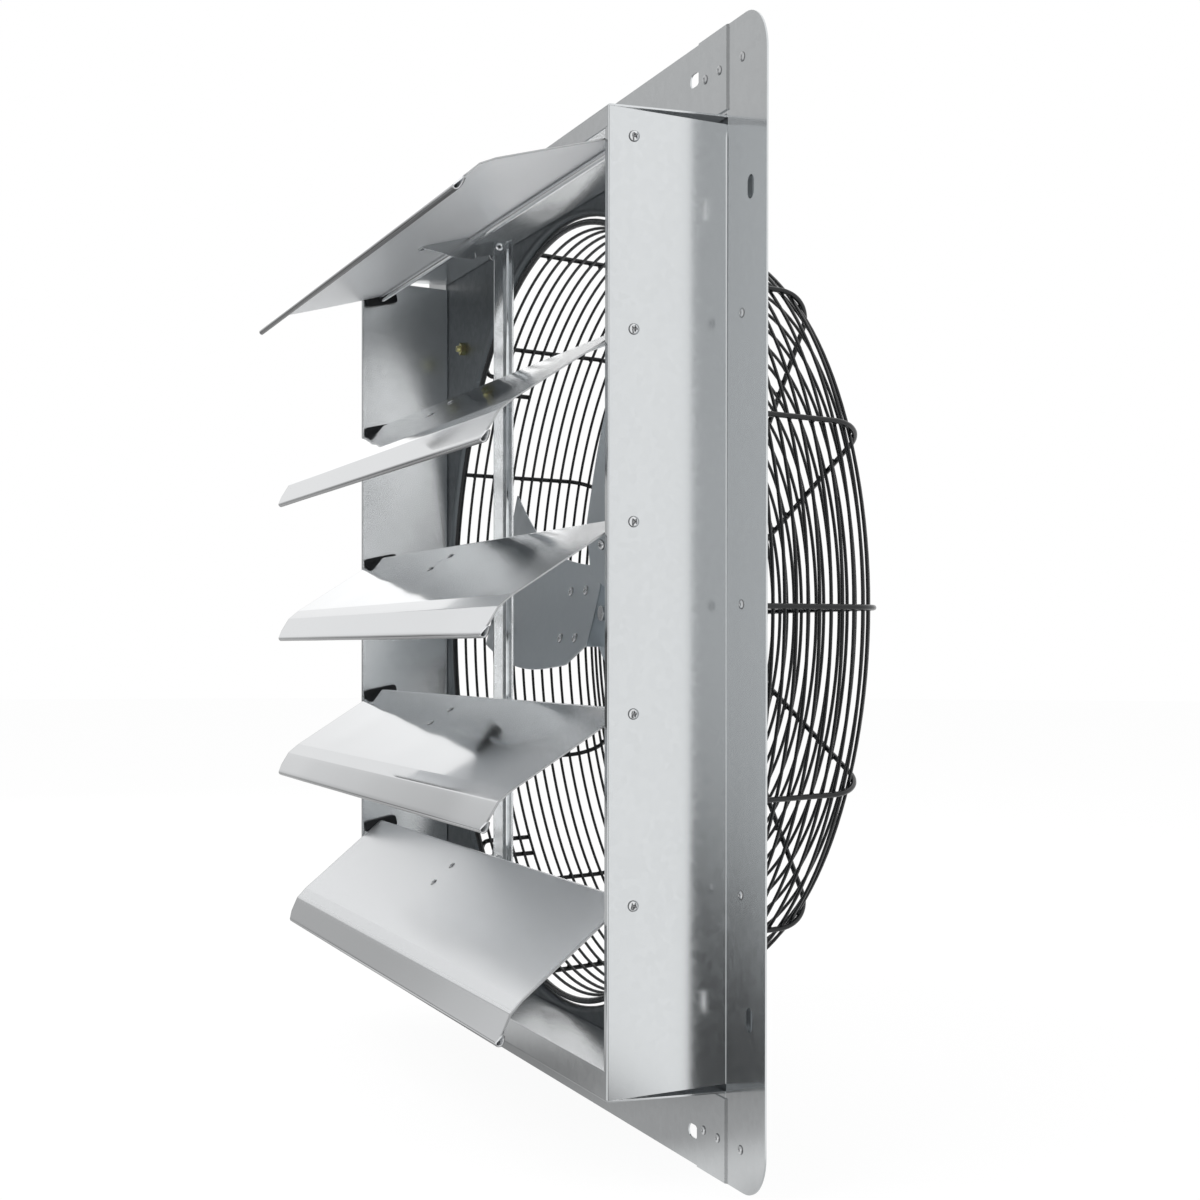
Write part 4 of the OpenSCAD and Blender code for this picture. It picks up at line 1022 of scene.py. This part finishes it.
def waves(x, s, k):
    """Shallow waves of a rolled sheet: sums of sines, shifted from one louver to the next."""
    shift = 1.7 * k
    ends = 1 + 0.8 * smooth_step(np.abs(x), 0.12, 0.26)
    return (np.sin(x * 31 + shift + 9 * s) * 0.5 + np.sin(x * 62 - 2 * shift + 23 * s) * 0.13
            + np.sin(x * 17 + 3 * shift - 31 * s) * 0.5) * ends


def add_louver(k):
    """One louver: its section's line carried along X, with thickness along the normals.
    The ends follow the cut corners, and the flat has shallow waves that fade at its bends."""
    s = sizes("fan_louvers")
    line, normal, flat = louver_line(s)
    y = -line[:, 0]
    half = s.half - np.clip(y - (s.pitch - s.chamfer), 0, s.chamfer)
    columns = 150
    across = (np.sin(np.linspace(-0.5, 0.5, columns) * math.pi) * 0.35
              + np.linspace(-1, 1, columns) * 0.65)
    x = half * across[:, None]
    calm = smooth_step(y, 0.003, 0.03) * smooth_step(-y, -flat, -(flat - 0.02))
    calm = calm + 0.35 * smooth_step(y, flat - 0.02, flat)
    lift = s.wave * waves(x, y, k) * calm
    top, under = (np.concatenate([x[..., None], line + normal * (t + lift)[..., None]], -1)
                  for t in (s.sheet / 2, -s.sheet / 2))
    skin = np.concatenate([top, under[:, ::-1]], 1)
    # the cut ends are dark as bare cut steel
    rim = 0.5 * (1 - smooth_step(s.half - np.abs(x), 0.0, 0.0012))
    # painted shade: the hem and its front roll are darkened for the shadow under the lip
    hem_points = 19
    roll = np.zeros(len(line))
    roll[:hem_points] = np.minimum(1.0, np.linspace(3.0, 0, hem_points))
    worn = np.concatenate([np.maximum(rim, roll), rim[:, ::-1]], 1)
    # painted light: all undersides, the tops' +X ends and louver 5's top up to its lip are marked
    # rougher, less metallic and painted paler
    upper = 0.3 * smooth_step(x, 0.18, 0.27)
    if k == LOUVERS[-1]:
        upper = 0.6 * smooth_step(-y, -flat - 0.0125, -flat - 0.0095) + 0 * x
    matt = np.concatenate([upper, np.ones(rim.shape)], 1)
    at = hinge(k)
    skin = turn_x(skin, louver_turn(k, s)) + np.array([0, at.y, at.z])
    rows, cols = skin.shape[:2]
    first = np.arange(len(line) - 1)
    strip = np.stack([first, first + 1, cols - 2 - first, cols - 1 - first], 1)
    faces = [*grid_faces(rows, cols, wrap_cols=True), *strip[:, ::-1], *(strip + (rows - 1) * cols)]
    shape = Shape()
    shape.add(skin, faces, worn=worn, matt=matt)
    shape.put(f"louver_{k}_sheet", f"louver_{k}", "louver_sheet", f"louver_{k}", smooth=35)


class EXHAUST_OT_linkage(Piece, bpy.types.Operator):
    """Adds the louver brackets with their rivets, and the tie bar with its pins"""
    bl_idname = "exhaust.linkage"
    bl_label = "Linkage"

    def execute(self, context):
        s = sizes("fan_louvers")
        edge, rivet_x, leg_x = 0.0002, -0.02855, -0.01925
        head_r, shank_r, near, far, middle = 0.0034, 0.002, -0.0041, -0.0057, 0.0005
        tail = rounded([(middle, far), (head_r, far), (head_r, near), (middle, near)], 0.0004)
        dimpled = rivet_head(head_r, 0.0016, 0.0018)
        pins = Shape()
        for k in LOUVERS:
            at = hinge(k)
            rounded_copy(f"louver_bracket_{k}", f"louver_{k}_bracket", f"louver_{k}",
                         "galvanised_sheet", edge, "bracket_sheet")
            rivets = Shape()
            along, up = (turn_x(v, louver_turn(k, s)) for v in ((0, -1, 0), (0, 0, 1)))
            for reach in (0.01828, 0.03766):
                origin = np.array([rivet_x, at.y, at.z]) + along * reach + up * (s.curl / 2)
                add_rivet(rivets, "louver", origin, up, s.sheet + 0.0015)
            rivets.put(f"louver_{k}_rivets", f"louver_{k}", "rivet_metal", f"louver_rivets_{k}")
            where = np.array([leg_x, at.y + 0.0198, at.z - 0.0049])
            add_head(pins, head_grid(head_r, dimpled, where, AXIS_X, 16, 36))
            pins.tube(turned([(shank_r, -0.0043), (shank_r, 0.0005)], where, AXIS_X, 24))
            pins.tube(turned(tail, where, AXIS_X), joined=True)
        rounded_copy("tie_bar", "tie_bar_angle", "tie_bar", "galvanised_sheet", edge,
                     "galvanised_link", lambda p: p.x < -0.0185 and p.y > -0.0385, 0.0012)
        pins.put("tie_bar_pin_heads", "tie_bar", "plain_steel", "tie_bar_pins")
        return {"FINISHED"}


# Guard

class GuardLines:
    """Middle lines of the guard's wires, worked out from its sizes."""

    def __init__(self, g):
        self.g = g
        self.start_r = g.base_r - g.offset
        self.bend_y = g.depth - g.bend
        wall_drop = self.bend_y + g.bend * math.sin(g.lean) - g.base_y
        self.wall = wall_drop / math.cos(g.lean)
        self.bend_r = self.start_r - wall_drop * math.tan(g.lean) - g.bend * math.cos(g.lean)
        self.turn = math.pi / 2 + g.dish - g.lean
        self.crest_r = self.bend_r - g.bend * math.sin(g.dish)
        self.crest_y = self.bend_y + g.bend * math.cos(g.dish)

    def wall_at(self, s):
        """Radius and depth of a ring at a length along the wall and round the bend."""
        g = self.g
        if s < self.wall:
            return self.start_r - s * math.sin(g.lean), g.base_y + s * math.cos(g.lean)
        a = g.lean + (s - self.wall) / g.bend
        return self.bend_r + g.bend * math.cos(a), self.bend_y + g.bend * math.sin(a)

    def wall_rings(self):
        count = int((self.wall + 0.75 * self.g.bend * self.turn) / self.g.wall_pitch)
        return [self.wall_at(k * self.g.wall_pitch) for k in range(1, count + 1)]

    def face_rings(self):
        g = self.g
        count = int((self.crest_r - g.mount_r - 4 * g.ring_wire) / g.face_pitch) + 1
        drops = [k * g.face_pitch for k in range(count)]
        return [(self.crest_r - d, self.crest_y - d * math.tan(g.dish)) for d in drops]

    def rib(self):
        """One rib in the plane of X and Y: up the wall, round the bend and in to the plate."""
        g = self.g
        sweep = g.bend + g.offset
        a = g.lean + np.linspace(0, 1, 20) * self.turn
        bend = np.stack([self.bend_r + sweep * np.cos(a), self.bend_y + sweep * np.sin(a)], 1)
        start = np.array([g.base_r, g.base_y + g.base_wire * 0.6])
        wall = start + np.linspace(0, 0.98, 16)[:, None] * (bend[0] - start)
        end = np.array([g.rib_end, bend[-1][1] - (bend[-1][0] - g.rib_end) * math.tan(g.dish)])
        face = bend[-1] + np.linspace(0.02, 1, 24)[:, None] * (end - bend[-1])
        return np.pad(np.concatenate([wall, bend, face]), ((0, 0), (0, 1)))


class EXHAUST_OT_guard(Piece, bpy.types.Operator):
    """Adds the wire guard: base ring, thin rings, ribs with their welds, feet, bolts and nuts"""
    bl_idname = "exhaust.guard"
    bl_label = "Guard"

    def execute(self, context):
        g = sizes("fan_guard")
        lines = GuardLines(g)
        base, ribs, rib_count = Shape(), Shape(), 14
        base.tube(ring(g.base_r, g.base_y, g.base_wire, 180, 16), joined=True)
        base.put("guard_base_wire", "frame", "black_wire", "guard_base_ring")
        for part, rings in (("wall", lines.wall_rings()), ("face", lines.face_rings())):
            shape = Shape()
            for r, y in rings:
                shape.tube(ring(r, y, g.ring_wire), joined=True)
            shape.put(f"guard_{part}_wires", "frame", "black_wire", f"guard_{part}_rings")
        rib = lines.rib()
        solids = [wire(rib, g.rib_wire, round_ends=True), *weld_places(lines, rib)]
        for turn in turns(rib_count):
            for solid in solids:
                ribs.tube(spin_y(solid, turn))
        ribs.put("guard_rib_wires", "frame", "black_wire", "guard_ribs")
        add_feet(g, lines)
        return {"FINISHED"}


def weld_places(lines, rib):
    """Small flattened balls where a rib crosses the rings."""
    wire_r = lines.g.ring_wire
    size = 1.15 * wire_r
    out = []
    turn = turns(8)
    a = np.radians([15, 50, 90, 130, 165])[:, None]
    for place_on_ring in lines.wall_rings() + lines.face_rings():
        here = np.array(place_on_ring)
        near = rib[np.argmin(np.hypot(*(rib[:, :2] - here).T)), :2]
        x, y = here + unit(near - here) * wire_r
        out.append(np.stack([x + size * np.sin(a) * np.cos(turn), y + size * np.cos(a) + 0 * turn,
                             1.5 * size * np.sin(a) * np.sin(turn)], -1))
    return out


def foot_path(g, lines, bolt_r):
    """A foot's middle line: down the wall, over the base ring, to the plate and round the bolt."""
    half, opening, lip, rise = 0.009, 0.306, 0.006, 0.042
    foot_y = PLATE_REAR + g.foot_wire + CLEAR / 2
    over_y = g.base_y + g.base_wire + g.foot_wire + CLEAR
    gap = g.ring_wire + g.foot_wire + CLEAR
    thick = 2 * g.foot_wire
    clear = opening + lip + g.foot_wire + thick
    drop = clear + thick + g.foot_wire
    top_r = lines.wall_at(over_y + rise - g.base_y)[0] + gap
    low_r = lines.wall_at(over_y + thick - g.base_y)[0] + gap
    leg = rounded([
        [top_r, over_y + rise], [low_r, over_y + thick],
        [low_r + 0.3 * thick, over_y + 0.3 * thick],
        [low_r + thick, over_y], [clear, over_y], [drop, foot_y], [bolt_r, foot_y]],
        0.003, 6, closed=False)
    loop = np.radians(np.linspace(-90, 90, 17)[1:-1])
    first = np.pad(leg, ((0, 0), (0, 1)), constant_values=-half)
    loop = np.stack([bolt_r + half * np.cos(loop), 0 * loop + foot_y, half * np.sin(loop)], 1)
    return np.concatenate([first, loop, first[::-1] * [1, 1, -1]])


def add_feet(g, lines):
    """The guard's feet, with the washer, bolt and nut of each."""
    feet, bolts, nuts = Shape(), Shape(), Shape()
    bolt_r = math.hypot(g.bolt_x, g.bolt_z)
    bolt_turn = math.atan2(g.bolt_z, g.bolt_x)
    foot = wire(foot_path(g, lines, bolt_r), g.foot_wire)
    rest_y = PLATE_REAR + 2 * g.foot_wire
    bore, rim, low, high = 0.0031, 0.0115, rest_y + CLEAR, rest_y + 0.0016
    washer = rounded([(bore, low), (rim, low), (rim, high), (bore, high)], 0.0004)
    across, head_h, nut_h, nut_y = 0.01, 0.004, 0.005, 0.0012
    for turn in (bolt_turn, math.pi - bolt_turn, math.pi + bolt_turn, -bolt_turn):
        feet.tube(spin_y(foot, turn))
        where = spin_y((bolt_r, 0, 0), turn)
        bolts.tube(turned(washer, where, AXIS_Y, 40), joined=True)
        add_hexagon(bolts, across, head_h, where + [0, high, 0], AXIS_Y)
        bolts.tube(thread(0.003, 0.0004, 0.001, -0.0068, high + CLEAR, where, AXIS_Y))
        add_hexagon(nuts, across, nut_h, where + [0, nut_y - nut_h, 0], AXIS_Y, 0.00305)
    feet.put("guard_foot_wires", "frame", "black_wire", "guard_feet")
    bolts.put("guard_bolt_set", "frame", "yellow_zinc", "guard_bolts", smooth=30)
    nuts.put("guard_nut_set", "frame", "yellow_zinc", "guard_nuts", smooth=30)


# Fan and motor

class EXHAUST_OT_fan(Piece, bpy.types.Operator):
    """Adds the three blades, the spider, the rivets and the hub"""
    bl_idname = "exhaust.fan"
    bl_label = "Fan"

    def execute(self, context):
        f = sizes("fan_blades")
        rivets, reach = Shape(), 0.004
        middle = BLADE_MIDDLE * f.tip
        for k, degrees in enumerate(BLADE_TURNS, 1):
            turn = math.radians(degrees)
            add_blade(f, k, turn)
            for x in (0.051, 0.086):
                for z in (-0.02, 0.02):
                    a = math.asin((z + middle) / f.camber)
                    face = (x, f.camber * math.cos(a) - f.camber, f.camber * math.sin(a) - middle)
                    origin = turn_x(face, f.pitch) + [0, f.blade_y, 0]
                    axis = turn_x((0, -math.cos(a), -math.sin(a)), f.pitch)
                    add_rivet(rivets, "blade", spin_y(origin, turn), spin_y(axis, turn), reach)
        rounded_copy("spider", "spider_plate", "fan", "spider_steel", 0.0003)
        rounded_copy("hub", "hub_turned", "fan", "plain_steel", 0.0006)
        rivets.put("blade_rivet_heads", "fan", "plain_steel", "blade_rivets")
        return {"FINISHED"}


def bezier(points, t):
    """A cubic curve from the first point to the last, drawn towards the two between."""
    a, b, c, d = points
    t = t[:, None]
    return (1 - t) ** 3 * a + 3 * t * (1 - t) ** 2 * b + 3 * t * t * (1 - t) * c + t ** 3 * d


def blade_edge(f, points, root_z, rows):
    """One edge of a flat blade, in even steps from the root along its curve to the tip's circle."""
    pts = np.concatenate([[[f.root, root_z * f.tip]],
                          bezier(np.array(points) * f.tip, np.linspace(0, 1, 400))])
    beyond = np.hypot(*pts.T) > f.tip * 0.9995
    pts = pts[:np.argmax(beyond) if beyond.any() else len(pts)]
    step = np.concatenate([[0], np.cumsum(np.linalg.norm(np.diff(pts, axis=0), axis=1))])
    even = np.linspace(0, step[-1], rows)
    return np.stack([np.interp(even, step, column) for column in pts.T], 1)


def add_blade(f, k, turn):
    """One blade: a patch between its upper and lower edge curves, laid on a cylinder of the
    camber's radius, tilted by the pitch, cut at the tip's circle and given its thickness."""
    rows, cols = 70, 41
    upper = blade_edge(f, [[0.13, 0.14], [0.42, 0.16], [0.66, 0.2], [0.95, 0.42]], 0.087, rows)
    lower = blade_edge(f, [[0.2, -0.15], [0.45, -0.17], [0.62, -0.19], [1.02, -0.08]], -0.09, rows)
    v = np.linspace(0, 1, cols)[:, None]
    flat = lower[:, None] * (1 - v) + upper[:, None] * v
    high, low = (math.atan2(edge[-1][1], edge[-1][0]) for edge in (upper, lower))
    arc = low + (high - low) * v
    tip = f.tip * np.concatenate([np.cos(arc), np.sin(arc)], 1)
    push = smooth_step(np.linspace(0, 1, rows), 0.35, 1.0)[:, None, None]
    flat = flat + push * (tip - flat[-1])
    middle = BLADE_MIDDLE * f.tip
    x, z = flat[..., 0], -flat[..., 1]
    a = np.arcsin((z + middle) / f.camber)
    skins = []
    for c in (f.camber, f.camber + f.sheet):
        p = np.stack([x, c * np.cos(a) - f.camber, c * np.sin(a) - middle], -1)
        p = turn_x(p, f.pitch) + [0, f.blade_y, 0]
        r = np.hypot(p[..., 0], p[..., 2])
        p[..., [0, 2]] *= np.minimum(1, f.tip / r)[..., None]
        skins.append(spin_y(p, turn))
    count = rows * cols
    top = grid_faces(rows, cols)
    index = np.arange(count).reshape(rows, cols)
    rim = np.concatenate([index[0, :-1], index[:-1, -1], index[-1, :0:-1], index[:0:-1, 0]])
    after = np.roll(rim, -1)
    wall = np.stack([rim, after, after + count, rim + count], 1)
    shape = Shape()
    shape.add(np.stack(skins), [*top, *(top[:, ::-1] + count), *wall])
    piece = shape.put(f"blade_{k}_sheet", "fan", "blade_sheet", f"blade_{k}", smooth=50)
    soft = piece.modifiers.new("Edges", "BEVEL")
    soft.width = 0.00035
    soft.segments = 2
    soft.limit_method = "ANGLE"
    soft.angle_limit = math.radians(50)


class EXHAUST_OT_motor(Piece, bpy.types.Operator):
    """Adds the motor with its shaft, plate, bolts, terminal box and gland"""
    bl_idname = "exhaust.motor"
    bl_label = "Motor"

    def execute(self, context):
        cast_edge, edge = 0.0005, 0.0004
        rounded_copy("motor_plate", "mounting_plate", "frame", "black_wire", cast_edge)
        for node in ("motor_front_bell", "motor_rear_bell"):
            rounded_copy(node, f"{node}_cast", "frame", "black_motor", cast_edge)
        for body, slot, *nodes in (
                ("frame", "black_motor", "motor_shell"), ("frame", "core_steel", "stator"),
                ("fan", "core_steel", "rotor"), ("frame", "winding_wire", "windings"),
                ("frame", "plain_steel", "front_bearing", "rear_bearing", "motor_bolts",
                 "mount_nuts"),
                ("frame", "black_motor", "terminal_box"), ("frame", "black_nylon", "cable_gland"),
                ("fan", "plain_steel", "set_screw", "shaft")):
            for node in nodes:
                rounded_copy(node, f"{node}_piece", body, slot, edge)
        return {"FINISHED"}


class EXHAUST_PT_panel(bpy.types.Panel):
    """Lists the fan's pieces and sizes in the sidebar"""
    bl_label = "Exhaust fan"
    bl_idname = "EXHAUST_PT_panel"
    bl_space_type = "VIEW_3D"
    bl_region_type = "UI"
    bl_category = "Exhaust fan"

    def draw(self, context):
        for operator in OPERATORS:
            self.layout.operator(operator.bl_idname)
        for group in GROUPS:
            box = self.layout.box()
            for name in GROUPS[group].__annotations__:
                box.prop(getattr(context.scene, group), name)


OPERATORS = (
    EXHAUST_OT_stage, EXHAUST_OT_box, EXHAUST_OT_fasteners, EXHAUST_OT_louvers,
    EXHAUST_OT_linkage, EXHAUST_OT_guard, EXHAUST_OT_fan, EXHAUST_OT_motor,
)


def register():
    for cls in (*GROUPS.values(), *OPERATORS, EXHAUST_PT_panel):
        bpy.utils.register_class(cls)
    for name, group in GROUPS.items():
        setattr(bpy.types.Scene, name, bpy.props.PointerProperty(type=group))


def unregister():
    for name in GROUPS:
        delattr(bpy.types.Scene, name)
    for cls in (EXHAUST_PT_panel, *reversed(OPERATORS), *reversed(GROUPS.values())):
        bpy.utils.unregister_class(cls)


def main():
    register()
    for operator in OPERATORS:
        _, name = operator.bl_idname.split(".")
        getattr(bpy.ops.exhaust, name)()


if __name__ == "__main__":
    main()
